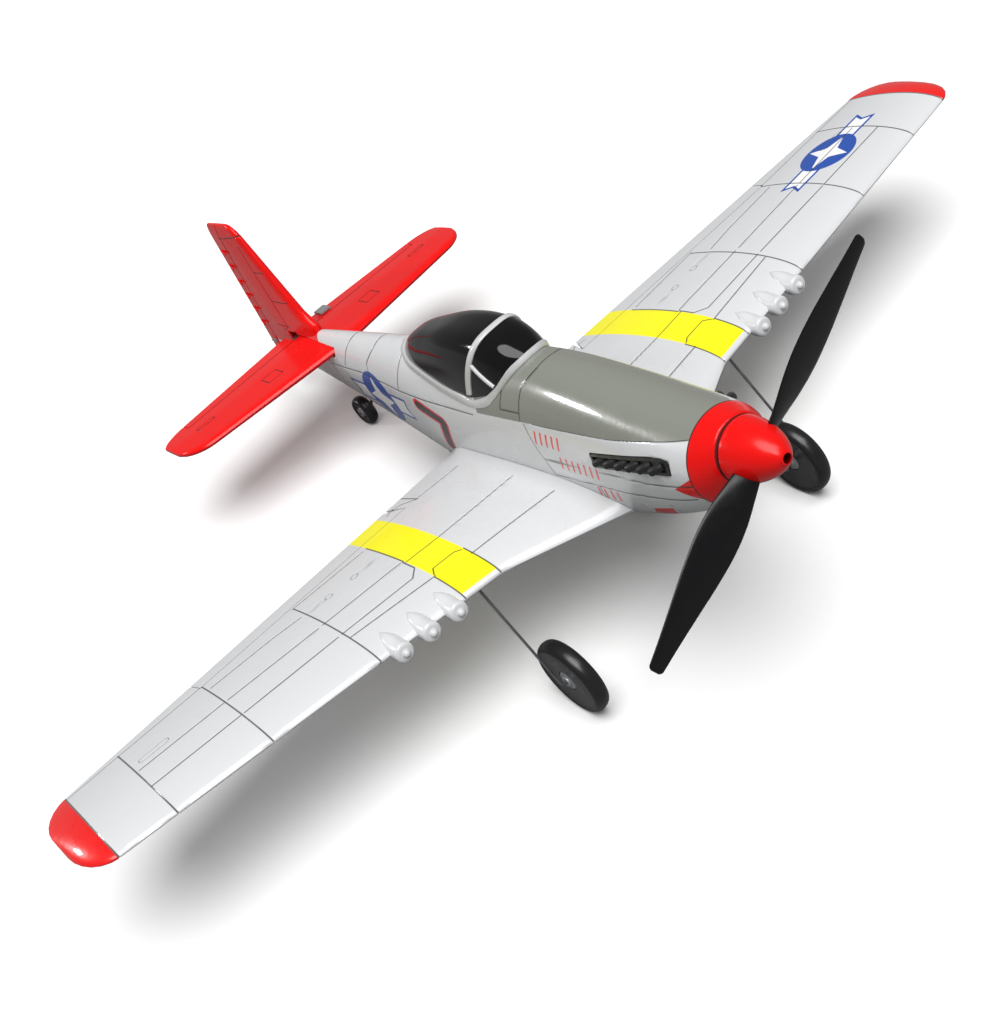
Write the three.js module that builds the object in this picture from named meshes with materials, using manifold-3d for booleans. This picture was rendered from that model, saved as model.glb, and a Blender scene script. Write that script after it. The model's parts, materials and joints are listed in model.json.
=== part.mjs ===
// A small radio-controlled foam warbird with a low wing, standing on its three wheels.
// Every piece is first laid out in the flying datum: millimetres, origin at the spinner tip,
// nose towards -Y, port wing towards +X, thrust line along Y at z = 0. One group then tilts the
// whole aeroplane nose-up, until both main wheels and the tail wheel stand on z = 0.
import * as THREE from "three";
import { mergeVertices } from "three/addons/utils/BufferGeometryUtils.js";
import Module from "manifold-3d";

const wasm = await Module();
wasm.setup();

// ---------------------------------------------------------------- driving dimensions
const GAP = 0.3; // what touching pieces keep between them
const WALL = 2.4; // foam wall of the fuselage

// Fuselage stations: y, top, bottom, half width, height of the widest point,
// and the roundness powers of the upper and lower half of the section.
const FUSELAGE = [
  [17.5, 9.8, -9.4, 9.8, 0.4, 2, 2],
  [26, 11.2, -17.6, 14.5, -3, 2, 2],
  [45, 13.7, -25.5, 16, -4.5, 2.15, 2.2],
  [70, 17.4, -31.5, 16.4, -5.5, 2.25, 2.4],
  [95, 20, -35.5, 16.4, -6, 2.25, 2.5],
  [125, 20, -37.5, 16, -6, 2.1, 2.5],
  [155, 18.2, -38, 15, -5, 1.9, 2.4],
  [180, 17.2, -36.5, 13.2, -3, 1.9, 2.3],
  [205, 15.8, -31.5, 10.8, -1, 1.9, 2.1],
  [235, 14, -22.5, 8.2, 0.5, 1.9, 2],
  [265, 12, -14, 5.4, 1, 2, 2],
  [290, 10, -8.5, 2.8, 1, 2, 2],
  [308, 9, -5, 1.5, 1, 2, 2],
];
const RING_FRONT = 18;
const HULL_FRONT = 26.4;
const HULL_REAR = 308;
const BAY_REAR = 262;

const PROP_Y = 11.2;
const PROP_RADIUS = 65.3;
const PROP_REST = THREE.MathUtils.degToRad(65.2);
const SPINNER_RADIUS = 9.6;
const SPINNER_LENGTH = 17.1;
const SHAFT_RADIUS = 0.75;
const BORE_PLAY = 0.08; // radial play between the shaft and what it carries
const BOSS = { half: 3.2, radius: 4 };

const GEAR_MODULE = 0.4;
const SPUR_TEETH = 44;
const PINION_TEETH = 10;
const GEAR_Y = 30.6;
const GEAR_WIDTH = 2.4;
const MOTOR_RADIUS = 4.25;
const MOTOR_Z = (-GEAR_MODULE * (SPUR_TEETH + PINION_TEETH)) / 2;

const DIHEDRAL = Math.tan(THREE.MathUtils.degToRad(4.12));
const HALF_SPAN = 200;
const TIP_START = 189.5;
const KINK_X = 52; // the leading edge sweeps forward from here to the root
const WING_THICKNESS = 0.1; // as a share of the chord
const TRAILING_HALF = 0.3; // half the thickness of the trailing edge
const AILERON = { inboard: 44.5, outboard: 137, hinge: 0.862 };
const WING_ROOT_Z = -24.6; // the leading edge at the middle of the aeroplane
const SPAR = { y: 118, z: -21.5, radius: 1, half: 45 };

const TAIL_Z = 8; // mid-plane of the stabiliser
const TAIL_HALF_SPAN = 73.9;
const TAIL_HALF_THICKNESS = 1.9;
const TAIL_TAPER = 0.008; // loss of half thickness for each millimetre of span
const TAIL_EDGE = 0.45; // half the thickness of the trailing edges
const ELEVATOR_HINGE_Y = 279.8;
const ELEVATOR = { root: 4.8, end: 61 };
const FIN_TOP = 61.5;
const RUDDER_HINGE = [new THREE.Vector3(0, 313, -10), new THREE.Vector3(0, 296, 61.5)];

const MAIN_WHEEL = { x: 54, y: 81, z: -61, radius: 14, width: 6.4, hub: 3.6 };
const TAIL_WHEEL = { y: 268, z: -29, radius: 6.5, width: 4.6, hub: 2.4 };
const LEG_X = 58.7;
const WIRE = 0.6; // wire radius
const WIRE_STEP = 2.6; // length of one facet along a wire

// ---------------------------------------------------------------- solids and meshes
const V = (x, y, z) => new THREE.Vector3(x, y, z);

function solidOf(geometry) {
  const bare = geometry.index ? geometry.toNonIndexed() : geometry.clone();
  for (const name of Object.keys(bare.attributes)) {
    if (name !== "position") bare.deleteAttribute(name);
  }
  const merged = mergeVertices(bare, 1e-3);
  const corners = new Uint32Array(merged.index.array);
  const points = merged.attributes.position.array;
  if (signedVolume(points, corners) < 0) corners.reverse();
  return new wasm.Manifold(
    new wasm.Mesh({ numProp: 3, vertProperties: points, triVerts: corners }),
  );
}

function signedVolume(points, corners) {
  const [a, b, c] = [V(), V(), V()];
  let total = 0;
  for (let i = 0; i < corners.length; i += 3) {
    a.fromArray(points, 3 * corners[i]);
    b.fromArray(points, 3 * corners[i + 1]);
    c.fromArray(points, 3 * corners[i + 2]);
    total += a.dot(b.cross(c));
  }
  return total / 6;
}

function geometryOf(solid) {
  const mesh = solid.getMesh();
  const geometry = new THREE.BufferGeometry();
  geometry.setAttribute("position", new THREE.BufferAttribute(mesh.vertProperties, 3));
  geometry.setIndex(new THREE.BufferAttribute(mesh.triVerts, 1));
  geometry.computeVertexNormals();
  return geometry;
}

// Triangles that close one flat ring of points.
function capTriangles(ring) {
  const centre = ring.reduce((sum, p) => sum.add(p), V(0, 0, 0)).divideScalar(ring.length);
  const normal = V(0, 0, 0);
  ring.forEach((p, i) => {
    const q = ring[(i + 1) % ring.length];
    normal.add(p.clone().sub(centre).cross(q.clone().sub(centre)));
  });
  normal.normalize();
  const side = ring[0].clone().sub(centre).normalize();
  const across = normal.clone().cross(side);
  const flat = ring.map((p) => {
    const d = p.clone().sub(centre);
    return new THREE.Vector2(d.dot(side), d.dot(across));
  });
  return THREE.ShapeUtils.triangulateShape(flat, []);
}

// A closed solid through rings that all have the same number of points.
function loft(rings) {
  const count = rings[0].length;
  const corners = [];
  for (let r = 0; r + 1 < rings.length; r += 1) {
    for (let i = 0; i < count; i += 1) {
      const a = r * count + i;
      const b = r * count + ((i + 1) % count);
      corners.push(a, b, a + count, b, b + count, a + count);
    }
  }
  const last = (rings.length - 1) * count;
  for (const [a, b, c] of capTriangles(rings[0])) corners.push(a, c, b);
  for (const [a, b, c] of capTriangles(rings.at(-1))) corners.push(last + a, last + b, last + c);
  const geometry = new THREE.BufferGeometry();
  const points = rings.flat().flatMap((p) => [p.x, p.y, p.z]);
  geometry.setAttribute("position", new THREE.Float32BufferAttribute(points, 3));
  geometry.setIndex(corners);
  return solidOf(geometry);
}

// A turned solid about a line through `centre`, along "x" or "y". The profile is a list of
// [distance along the line, radius], and closes on itself or starts and ends on the axis.
function turned(profile, axis, centre, sides = 24) {
  const outline = profile.map(([along, radius]) => new THREE.Vector2(radius, along));
  if (profile[0][1] > 0) outline.push(outline[0].clone());
  const geometry = new THREE.LatheGeometry(outline, sides);
  if (axis === "x") geometry.rotateZ(-Math.PI / 2);
  return solidOf(geometry.translate(centre.x, centre.y, centre.z));
}

function rod(from, to, radius, sides = 12) {
  const along = to.clone().sub(from);
  const geometry = new THREE.CylinderGeometry(radius, radius, along.length(), sides);
  const turn = new THREE.Quaternion().setFromUnitVectors(V(0, 1, 0), along.clone().normalize());
  geometry.applyQuaternion(turn);
  const middle = from.clone().add(to).multiplyScalar(0.5);
  return solidOf(geometry.translate(middle.x, middle.y, middle.z));
}

// A wire of round section through corner points, each corner bent to a small radius.
function wire(points, radius, bend = 2, sides = 8) {
  const path = new THREE.CurvePath();
  let from = points[0];
  for (let i = 1; i + 1 < points.length; i += 1) {
    const into = points[i].clone().sub(points[i - 1]).setLength(bend);
    const out = points[i + 1].clone().sub(points[i]).setLength(bend);
    const start = points[i].clone().sub(into);
    const end = points[i].clone().add(out);
    path.add(new THREE.LineCurve3(from, start));
    path.add(new THREE.QuadraticBezierCurve3(start, points[i], end));
    from = end;
  }
  path.add(new THREE.LineCurve3(from, points.at(-1)));
  const around = Array.from({ length: sides }, (_, i) => (2 * Math.PI * i) / sides);
  const circle = new THREE.Shape(
    around.map((angle) => new THREE.Vector2(radius * Math.cos(angle), radius * Math.sin(angle))),
  );
  const steps = Math.ceil(path.getLength() / WIRE_STEP);
  return solidOf(new THREE.ExtrudeGeometry(circle, { steps, extrudePath: path }));
}

function box(low, high) {
  const geometry = new THREE.BoxGeometry(high[0] - low[0], high[1] - low[1], high[2] - low[2]);
  return solidOf(
    geometry.translate((low[0] + high[0]) / 2, (low[1] + high[1]) / 2, (low[2] + high[2]) / 2),
  );
}

const joined = (solids) => solids.reduce((all, solid) => all.add(solid));

const airplane = new THREE.Group();
const datum = new THREE.Group();
airplane.add(datum);

const FINISHES = {
  foam: { color: 0xc9cacc, roughness: 0.45, metalness: 0.1 },
  cowlGrey: { color: 0x84877e, roughness: 0.4, metalness: 0.05 },
  red: { color: 0xe01818, roughness: 0.35, metalness: 0 },
  glossBlack: { color: 0x0c0c0d, roughness: 0.12, metalness: 0 },
  black: { color: 0x151517, roughness: 0.5, metalness: 0 },
  silver: { color: 0xb9bbbd, roughness: 0.4, metalness: 0.2 },
  steel: { color: 0x9a9da0, roughness: 0.3, metalness: 0.9 },
  rubber: { color: 0x17181a, roughness: 0.8, metalness: 0 },
  greyPlastic: { color: 0x8b8d90, roughness: 0.4, metalness: 0.1 },
  whitePlastic: { color: 0xe8e6e0, roughness: 0.45, metalness: 0 },
  board: { color: 0x1c5a33, roughness: 0.5, metalness: 0 },
  battery: { color: 0x2a4fa0, roughness: 0.4, metalness: 0 },
  carbon: { color: 0x1b1c1e, roughness: 0.4, metalness: 0.2 },
};

// Adds one named piece. A piece that turns or slides has its pivot as its own origin.
function add(name, finish, solid, pivot = V(0, 0, 0)) {
  const geometry = geometryOf(solid).translate(-pivot.x, -pivot.y, -pivot.z);
  const mesh = new THREE.Mesh(geometry, new THREE.MeshStandardMaterial(FINISHES[finish]));
  mesh.name = name;
  mesh.position.copy(pivot);
  datum.add(mesh);
}

const SIDES = [
  ["left", 1],
  ["right", -1],
];

// ---------------------------------------------------------------- fuselage
// Smooth interpolation between the fuselage stations.
function station(y) {
  const last = FUSELAGE.length - 1;
  let i = 0;
  while (i < last - 1 && FUSELAGE[i + 1][0] < y) i += 1;
  const [a, b] = [FUSELAGE[i], FUSELAGE[i + 1]];
  const span = b[0] - a[0];
  const s = (y - a[0]) / span;
  const slope = (k, column) => {
    const [from, to] = [FUSELAGE[Math.max(k - 1, 0)], FUSELAGE[Math.min(k + 1, last)]];
    return ((to[column] - from[column]) / (to[0] - from[0])) * span;
  };
  return a.map(
    (_, column) =>
      (2 * s ** 3 - 3 * s ** 2 + 1) * a[column] +
      (s ** 3 - 2 * s ** 2 + s) * slope(i, column) +
      (3 * s ** 2 - 2 * s ** 3) * b[column] +
      (s ** 3 - s ** 2) * slope(i + 1, column),
  );
}

function fuselageRing(y, grow = 0, count = 24) {
  const [, top, bottom, half, widest, upper, lower] = station(y);
  return Array.from({ length: count }, (_, i) => {
    const angle = (2 * Math.PI * (i + 0.5)) / count;
    const [c, s] = [Math.cos(angle), Math.sin(angle)];
    const power = 2 / (c > 0 ? upper : lower);
    const reach = (c > 0 ? top - widest : widest - bottom) + grow;
    const x = Math.sign(s) * (half + grow) * Math.abs(s) ** power;
    return V(x, y, widest + Math.sign(c) * reach * Math.abs(c) ** power);
  });
}

const HULL_STATIONS = [35, 45, 57, 70, 95, 125, 150, 175, 195, 215, 240, 265, 290];
const fuselageSolid = (from, to, grow = 0, count = 24) => {
  const inside = HULL_STATIONS.filter((y) => y > from + 1 && y < to - 1);
  return loft([from, ...inside, to].map((y) => fuselageRing(y, grow, count)));
};
const fuselageSkin = fuselageSolid(HULL_FRONT - 1, HULL_REAR + 1, GAP);

// ---------------------------------------------------------------- canopy and top hatch
// Canopy stations: y, top, half width where it meets the deck.
const CANOPY = [
  [97, 20.6, 3],
  [104, 26, 9.2],
  [111, 31, 11.2],
  [120, 32.3, 12.4],
  [130, 32.5, 12.8],
  [142, 30.6, 12],
  [155, 27.2, 10.4],
  [170, 22.2, 7.6],
  [184, 17.6, 2.6],
];
const SILL = -2; // the canopy form runs down to here before the deck trims it
const CANOPY_DECK = 8; // the canopy's sides start to curve in from here
const CANOPY_WALL = 1.3;
const CANOPY_RECESS = CANOPY_WALL + 0.1; // the opening under the canopy, inset from its outside

function canopyForm(grow) {
  const rings = CANOPY.map(([y, top, half]) => {
    const ring = Array.from({ length: 13 }, (_, i) => {
      const angle = (Math.PI * i) / 12;
      const [c, s] = [Math.cos(angle), Math.sin(angle)];
      const x = Math.sign(c) * (half + grow) * Math.abs(c) ** 0.85;
      return V(x, y, CANOPY_DECK + (top + grow - CANOPY_DECK) * s ** 0.85);
    });
    return [...ring, V(-half - grow, y, SILL), V(half + grow, y, SILL)];
  });
  return loft(rings);
}

// The line where the top hatch leaves the hull, seen from the side: y, z.
const HATCH_EDGE = [
  [HULL_FRONT - 5, 8.6],
  [34, 7.9],
  [58, 6.6],
  [97, 6.2],
];
const HATCH_REAR = 131;
const HATCH_REAR_Z = 4.6;
const HATCH_WALL = 2;

function aboveHatchEdge(shift) {
  const outline = [
    ...HATCH_EDGE.map(([y, z]) => [y, z + shift]),
    [HATCH_REAR - shift, HATCH_REAR_Z + shift],
    [HATCH_REAR - shift, 60],
    [HATCH_EDGE[0][0], 60],
  ];
  const ring = (x) => outline.map(([y, z]) => V(x, y, z));
  return loft([ring(-30), ring(30)]);
}

function buildHull() {
  const outer = fuselageSolid(HULL_FRONT, HULL_REAR);
  const bay = fuselageSolid(HULL_FRONT - 1.2, BAY_REAR, -WALL, 16);
  const former = box([-20, 57, -40], [20, 60, 4]).intersect(outer);
  const cuts = joined([
    aboveHatchEdge(0),
    canopyForm(-CANOPY_RECESS).intersect(box([-30, 120, -10], [30, 200, 60])),
    rod(V(-30, SPAR.y, SPAR.z), V(30, SPAR.y, SPAR.z), SPAR.radius + GAP),
    rod(ELEVATOR_ROD[0], ELEVATOR_ROD[1], 1.5, 8),
    rod(RUDDER_ROD[0], RUDDER_ROD[1], 1.5, 8),
    box([-12, 240, TAIL_Z - 2.6], [12, 281, TAIL_Z + 2.6]),
    box([-12, 280, TAIL_Z - 4.6], [12, 297, TAIL_Z + 2.6]),
    ...SIDES.map(([, side]) => exhaustPocket(side)),
    ...SIDES.map(([, side]) => torqueRodTunnel(side)),
    rod(V(0, TAIL_WHEEL.y - 8, -16), V(0, TAIL_WHEEL.y - 8, -5), WIRE + 0.2, 8),
  ]);
  return outer.subtract(bay).add(former).subtract(cuts);
}

function buildHatch() {
  const inside = fuselageSolid(HULL_FRONT - 1.2, HATCH_REAR + 10, -HATCH_WALL, 16);
  const skin = fuselageSolid(HULL_FRONT, HATCH_REAR + 9).subtract(inside);
  const cover = skin.intersect(aboveHatchEdge(GAP));
  const rib = box([-4, 57, 8], [4, 60, 13]);
  return cover.add(rib).subtract(canopyForm(-CANOPY_RECESS));
}

const canopyShell = () =>
  canopyForm(0)
    .subtract(canopyForm(-CANOPY_WALL))
    .subtract(fuselageSkin)
    .subtract(box([-30, 90, -9], [30, 200, 4]));

// The bow between the windscreen and the sliding part leans forward: y + lean * z = reach.
const BOW = { lean: 1.2, reach: 149.6, width: 3, height: 0.9 };

function canopyBow() {
  const slab = (x) => {
    const at = (z, shift) => V(x, BOW.reach - BOW.lean * z + shift, z);
    return [at(-5, 0), at(60, 0), at(60, -BOW.width), at(-5, -BOW.width)];
  };
  const band = canopyForm(BOW.height).subtract(canopyForm(GAP));
  return band.intersect(loft([slab(-30), slab(30)])).subtract(fuselageSkin);
}

// ---------------------------------------------------------------- wing
// How far an elliptical end has drawn in, from 0 where it starts to 1 at its tip.
const rounding = (share) => 1 - Math.sqrt(Math.max(0, 1 - share ** 2));

function wingEdges(x) {
  const out = Math.abs(x);
  let lead = 84.9 + 0.093 * out;
  let trail = 175.9 - 0.145 * out;
  if (out < KINK_X) lead -= 0.44 * (KINK_X - out);
  if (out > TIP_START) {
    const round = rounding((out - TIP_START) / (HALF_SPAN - TIP_START));
    lead += 17 * round;
    trail -= 14 * round;
  }
  return [lead, trail];
}

function wingPoint(x, u, side) {
  const [lead, trail] = wingEdges(x);
  const chord = trail - lead;
  const shape = 0.2969 * Math.sqrt(u) - 0.126 * u - 0.3516 * u ** 2 + 0.2843 * u ** 3 - 0.1036 * u ** 4;
  const half = 5 * WING_THICKNESS * shape;
  const camber = 0.1 * u * (1 - u);
  const z = WING_ROOT_Z + 1.2 * u + DIHEDRAL * Math.abs(x);
  return V(x, lead + chord * u, z + chord * (camber + side * half) + side * TRAILING_HALF * u);
}

function wingRing(x) {
  const steps = 9;
  const along = (i) => (1 - Math.cos((Math.PI * i) / steps)) / 2;
  const upper = Array.from({ length: steps }, (_, i) => wingPoint(x, along(steps - i), 1));
  const lower = Array.from({ length: steps }, (_, i) => wingPoint(x, along(i + 1), -1));
  return [...upper, wingPoint(x, 0, 1), ...lower];
}

const WING_STATIONS = [9, 30, KINK_X, 97, 140, TIP_START, 194, 197.5, 199.3, HALF_SPAN];
const wingForm = (side) => loft(WING_STATIONS.map((x) => wingRing(side * x)));

const aileronHinge = (side, x) => wingPoint(side * x, AILERON.hinge, 1);

// A prism along a hinge line. `section` holds [aft, up] offsets from the line.
function alongHinge(ends, section, slants) {
  const ring = (end, slant) =>
    section.map(([aft, up]) => V(end.x + slant * aft, end.y + aft, end.z + up));
  return loft([ring(ends[0], slants[0]), ring(ends[1], slants[1])]);
}

// What stays of a control surface hinged along its upper skin: a bevel leaves room to droop.
const BEVELLED = [
  [0.2, 4],
  [45, 4],
  [45, -14],
  [7.6, -14],
  [0.2, 0],
];
const CUT_OUT = [
  [-GAP, 6],
  [50, 6],
  [50, -16],
  [-GAP, -16],
];

function aileronPrism(side) {
  const ends = [AILERON.inboard, AILERON.outboard].map((x) => aileronHinge(side, x));
  return alongHinge(ends, BEVELLED, [side * 0.4, side * 0.15]);
}

function aileronCutOut(side) {
  const ends = [39, AILERON.outboard + 1].map((x) => aileronHinge(side, x));
  return alongHinge(ends, CUT_OUT, [side * 0.3, side * 0.15]);
}

// The torque rod lies on the aileron hinge line, from the aileron root to the fuselage.
function torqueRodLine(side) {
  const [a, b] = [aileronHinge(side, AILERON.inboard), aileronHinge(side, AILERON.outboard)];
  const along = b.clone().sub(a).divideScalar(Math.abs(b.x - a.x));
  return (x) => a.clone().addScaledVector(along, x - AILERON.inboard);
}

const torqueRodTunnel = (side) => rod(torqueRodLine(side)(4), torqueRodLine(side)(39.5), 1.3, 8);

function buildTorqueRod(side) {
  const line = torqueRodLine(side);
  const top = line(6.2).add(V(0, 0, 8));
  return wire([top, line(6.2), line(AILERON.inboard - 0.4)], WIRE, 1.2);
}

const GUN_X = [69.3, 79.6, 89.8];
const gunZ = (x) => WING_ROOT_Z + DIHEDRAL * x - 0.6;

function gunForm(side, x, grow) {
  const centre = V(side * x, wingEdges(x)[0], gunZ(x));
  const profile = [
    [-6 - grow, 0],
    [-5.2, 1.7 + grow],
    [-4, 2.2 + grow],
    [4, 2.2 + grow],
    [9, 1.6 + grow],
    [14 + grow, 0],
  ];
  return turned(profile, "y", centre, 10);
}

// Three gun fairings on one strip that is let into the leading edge.
function guns(side, grow) {
  const along = (x) => V(side * x, wingEdges(x)[0] + 4, gunZ(x));
  const strip = rod(along(GUN_X[0]), along(GUN_X[2]), 0.9 + grow, 8);
  return joined([strip, ...GUN_X.map((x) => gunForm(side, x, grow))]);
}

function gearBlock(side, grow) {
  const z = WING_ROOT_Z + DIHEDRAL * LEG_X;
  return box(
    [side * LEG_X - 4 - grow, 93.5 - grow, z - 6],
    [side * LEG_X + 4 + grow, 103.5 + grow, z + grow],
  );
}

function buildWing(side) {
  const cuts = joined([
    fuselageSkin,
    aileronCutOut(side),
    rod(V(0, SPAR.y, SPAR.z), V(side * (SPAR.half + 0.5), SPAR.y, SPAR.z), SPAR.radius + GAP),
    torqueRodTunnel(side),
    guns(side, GAP),
    gearBlock(side, GAP),
  ]);
  return wingForm(side).subtract(cuts);
}

// A small plastic block in the underside of the wing, drilled for the leg wire.
function buildGearBlock(side) {
  const hole = rod(LEG_TOP(side), LEG_FOOT(side), WIRE + 0.15, 8);
  return gearBlock(side, 0).intersect(wingForm(side)).subtract(hole);
}

// ---------------------------------------------------------------- undercarriage
const LEG_TOP = (side) => V(side * LEG_X, 98.4, -22.4);
const LEG_FOOT = (side) => V(side * LEG_X, MAIN_WHEEL.y, MAIN_WHEEL.z);
const AXLE_END = MAIN_WHEEL.x - MAIN_WHEEL.width / 2 - 2.3;

// The leg wire turns inboard as the axle, and a cap pressed on its end keeps the wheel on.
function buildLeg(side) {
  const end = V(side * AXLE_END, MAIN_WHEEL.y, MAIN_WHEEL.z);
  const cap = rod(end, end.clone().add(V(side * 1.6, 0, 0)), 1.9, 12);
  return wire([LEG_TOP(side), LEG_FOOT(side), end], WIRE, 1).add(cap);
}

function tyre(wheel, sides) {
  const [half, inner, outer] = [wheel.width / 2, wheel.hub + GAP, wheel.radius];
  const profile = [
    [-half, inner],
    [-half, outer - 1.8],
    [-half * 0.72, outer - 0.4],
    [-half * 0.35, outer],
    [half * 0.35, outer],
    [half * 0.72, outer - 0.4],
    [half, outer - 1.8],
    [half, inner],
  ];
  return (centre) => turned(profile, "x", centre, sides);
}

function hub(wheel, bore) {
  const half = wheel.width / 2;
  const profile = [
    [-half - 0.2, bore],
    [-half - 0.2, 2],
    [-half + 0.4, wheel.hub],
    [half - 0.4, wheel.hub],
    [half + 0.2, 2],
    [half + 0.2, bore],
  ];
  return (centre) => turned(profile, "x", centre, 16);
}

// The tail leg: a wire out of the belly, forked to one side of the tail wheel.
function buildTailLeg() {
  const x = TAIL_WHEEL.width / 2 + 1.6;
  return wire(
    [
      V(0, TAIL_WHEEL.y - 8, -6),
      V(0, TAIL_WHEEL.y - 8, -19.5),
      V(x, TAIL_WHEEL.y - 6, -20.5),
      V(x, TAIL_WHEEL.y, TAIL_WHEEL.z),
      V(-TAIL_WHEEL.width / 2 - 0.6, TAIL_WHEEL.y, TAIL_WHEEL.z),
    ],
    0.5,
    0.8,
  );
}

// ---------------------------------------------------------------- tail surfaces
// A flat-sided section with a rounded nose: y from lead to trail, half thickness at x or z.
function slabSection(lead, trail, nose, tail) {
  const points = [
    [lead, 0.15],
    [lead + 0.5 * nose, 0.75 * nose],
    [lead + 1.6 * nose, nose],
    [lead + 0.6 * (trail - lead), nose],
    [trail, tail],
  ];
  return [...points, ...points.toReversed().map(([y, half]) => [y, -half])];
}

const TAIL_STATIONS = [0, 20, 40, 62, 66, 70, 72.6, TAIL_HALF_SPAN];

function tailRing(x) {
  const out = Math.abs(x);
  const round = rounding(Math.max(0, out - 62) / 12.2);
  const lead = 243.2 + 0.14 * out + 14 * round;
  const trail = 291.3 - 0.092 * out - 7 * round;
  const half = (TAIL_HALF_THICKNESS - TAIL_TAPER * out) * (1 - 0.5 * round);
  return slabSection(lead, trail, half, TAIL_EDGE).map(([y, z]) => V(x, y, TAIL_Z + z));
}

const tailForm = () => {
  const right = TAIL_STATIONS.slice(1).toReversed();
  return loft([...right.map((x) => -x), ...TAIL_STATIONS].map(tailRing));
};
const elevatorHinge = (side, x) => 
  V(side * x, ELEVATOR_HINGE_Y, TAIL_Z + TAIL_HALF_THICKNESS - TAIL_TAPER * x);

function buildStabilizer() {
  const middle = box([-4, ELEVATOR_HINGE_Y - GAP, 0], [4, 300, 20]);
  const cutOuts = SIDES.map(([, side]) => {
    const ends = [0, ELEVATOR.end + 0.8].map((x) => elevatorHinge(side, x));
    return alongHinge(ends, CUT_OUT, [0, side * 0.1]);
  });
  return tailForm().subtract(joined([middle, ...cutOuts]));
}

const JOINER = [V(-9, 284.2, TAIL_Z), V(9, 284.2, TAIL_Z)];
const HORN_X = 14;

// The elevator horn: a blade through the port elevator and the plate it hangs from.
function elevatorHornForm(grow) {
  const blade = box(
    [HORN_X - 0.6 - grow, 282.4 - grow, -2.4],
    [HORN_X + 0.6 + grow, 287.4 + grow, 9.5],
  );
  const plate = box(
    [HORN_X - 2.6 - grow, 281.6 - grow, 9.4],
    [HORN_X + 2.6 + grow, 288 + grow, 10.2],
  );
  return blade.add(plate);
}

function buildElevator(side) {
  const ends = [ELEVATOR.root, ELEVATOR.end].map((x) => elevatorHinge(side, x));
  const half = tailForm().intersect(alongHinge(ends, BEVELLED, [0, side * 0.1]));
  const joiner = rod(JOINER[0], JOINER[1], WIRE + 0.2, 8);
  return half.subtract(joiner).subtract(elevatorHornForm(GAP));
}

// Fin outline: leading edge over z, with a dorsal fillet at its root.
function finLead(z) {
  const corner = 21.9;
  return z > corner ? 267 + 0.373 * (z - corner) : 267 - 15 * ((corner - z) / 5.7) ** 1.5;
}

function hingeY(z) {
  const [a, b] = RUDDER_HINGE;
  return a.y + ((b.y - a.y) * (z - a.z)) / (b.z - a.z);
}

function finRing(z) {
  const round = rounding(Math.max(0, z - 55) / 6.6);
  const lead = finLead(Math.max(z, 12)) + 5 * round;
  const trail = 319.2 - 0.2 * z - 3 * round;
  const nose = (2.7 - 0.022 * z) * (1 - 0.45 * round);
  return slabSection(lead, trail, nose, TAIL_EDGE).map(([y, x]) => V(x, y, z));
}

const finForm = () => loft([-8, 12, 15, 18.5, 22, 40, 55, 58, 60.4, FIN_TOP].map(finRing));

function buildFin() {
  const behind = [-20, 80].map((z) => {
    const y = hingeY(z) - GAP;
    return [V(-9, y, z), V(9, y, z), V(9, y + 70, z), V(-9, y + 70, z)];
  });
  return finForm()
    .subtract(loft(behind))
    .subtract(fuselageSkin)
    .subtract(box([-20, 200, -30], [20, 330, 11.2]));
}

function buildRudder() {
  const aft = [-20, 80].map((z) => {
    const y = hingeY(z) + 0.1;
    return [V(0, y, z), V(6, y + 3.5, z), V(6, y + 60, z), V(-6, y + 60, z), V(-6, y + 3.5, z)];
  });
  return finForm().intersect(loft(aft));
}

// ---------------------------------------------------------------- power train
function blade() {
  const stations = [2, 8, 16, 28, 42, 54, 61, PROP_RADIUS - 1.2, PROP_RADIUS];
  return loft(
    stations.map((r) => {
      const t = r / PROP_RADIUS;
      const tip = r > 61 ? 1 - 0.35 * ((r - 61) / (PROP_RADIUS - 61)) ** 2 : 1;
      const chord = (4.4 + 30 * t * (1 - t) ** 0.9) * tip;
      const pitch = Math.atan2(9.5, 6 + r);
      const thick = 2.4 - 1.6 * t;
      return [0, 1, 2, 3, 4, 5, 6, 7].map((i) => {
        const angle = (2 * Math.PI * i) / 8;
        const [a, b] = [(chord / 2) * Math.cos(angle), (thick / 2) * Math.sin(angle)];
        const [c, s] = [Math.cos(pitch), Math.sin(pitch)];
        return V(a * c - b * s, a * s + b * c, r);
      });
    }),
  );
}

function buildPropeller() {
  const half = geometryOf(blade());
  const other = half.clone().rotateY(Math.PI);
  const boss = rod(V(0, -BOSS.half, 0), V(0, BOSS.half, 0), BOSS.radius, 20);
  const bore = rod(V(0, -BOSS.half - 1, 0), V(0, BOSS.half + 1, 0), SHAFT_RADIUS + BORE_PLAY, 16);
  const twoBlades = solidOf(half).add(solidOf(other)).add(boss).subtract(bore);
  return solidOf(geometryOf(twoBlades).rotateY(PROP_REST).translate(0, PROP_Y, 0));
}

const spinnerRadius = (y) => SPINNER_RADIUS * (1 - (1 - y / SPINNER_LENGTH) ** 1.75) ** 0.62;

function buildSpinner() {
  const outer = [0.35, 1.5, 3.5, 7, 11, 14.5, SPINNER_LENGTH].map((y) => [y, spinnerRadius(y)]);
  const inner = [SPINNER_LENGTH, 11, 7, 3.5].map((y) => [y, Math.max(spinnerRadius(y) - 1.5, 1.5)]);
  const shell = turned([...outer, ...inner, [0.35, 1.5]], "y", V(0, 0, 0), 24);
  const slot = new THREE.BoxGeometry(11, 11.2, 40).translate(0, 13.1, 0).rotateY(PROP_REST);
  return shell.subtract(solidOf(slot));
}

// Corners of one tooth: share of the pitch from its middle, and modules from the pitch circle.
const TOOTH = [
  [-0.34, -1.2],
  [-0.16, 0.85],
  [0.16, 0.85],
  [0.34, -1.2],
];

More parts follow.
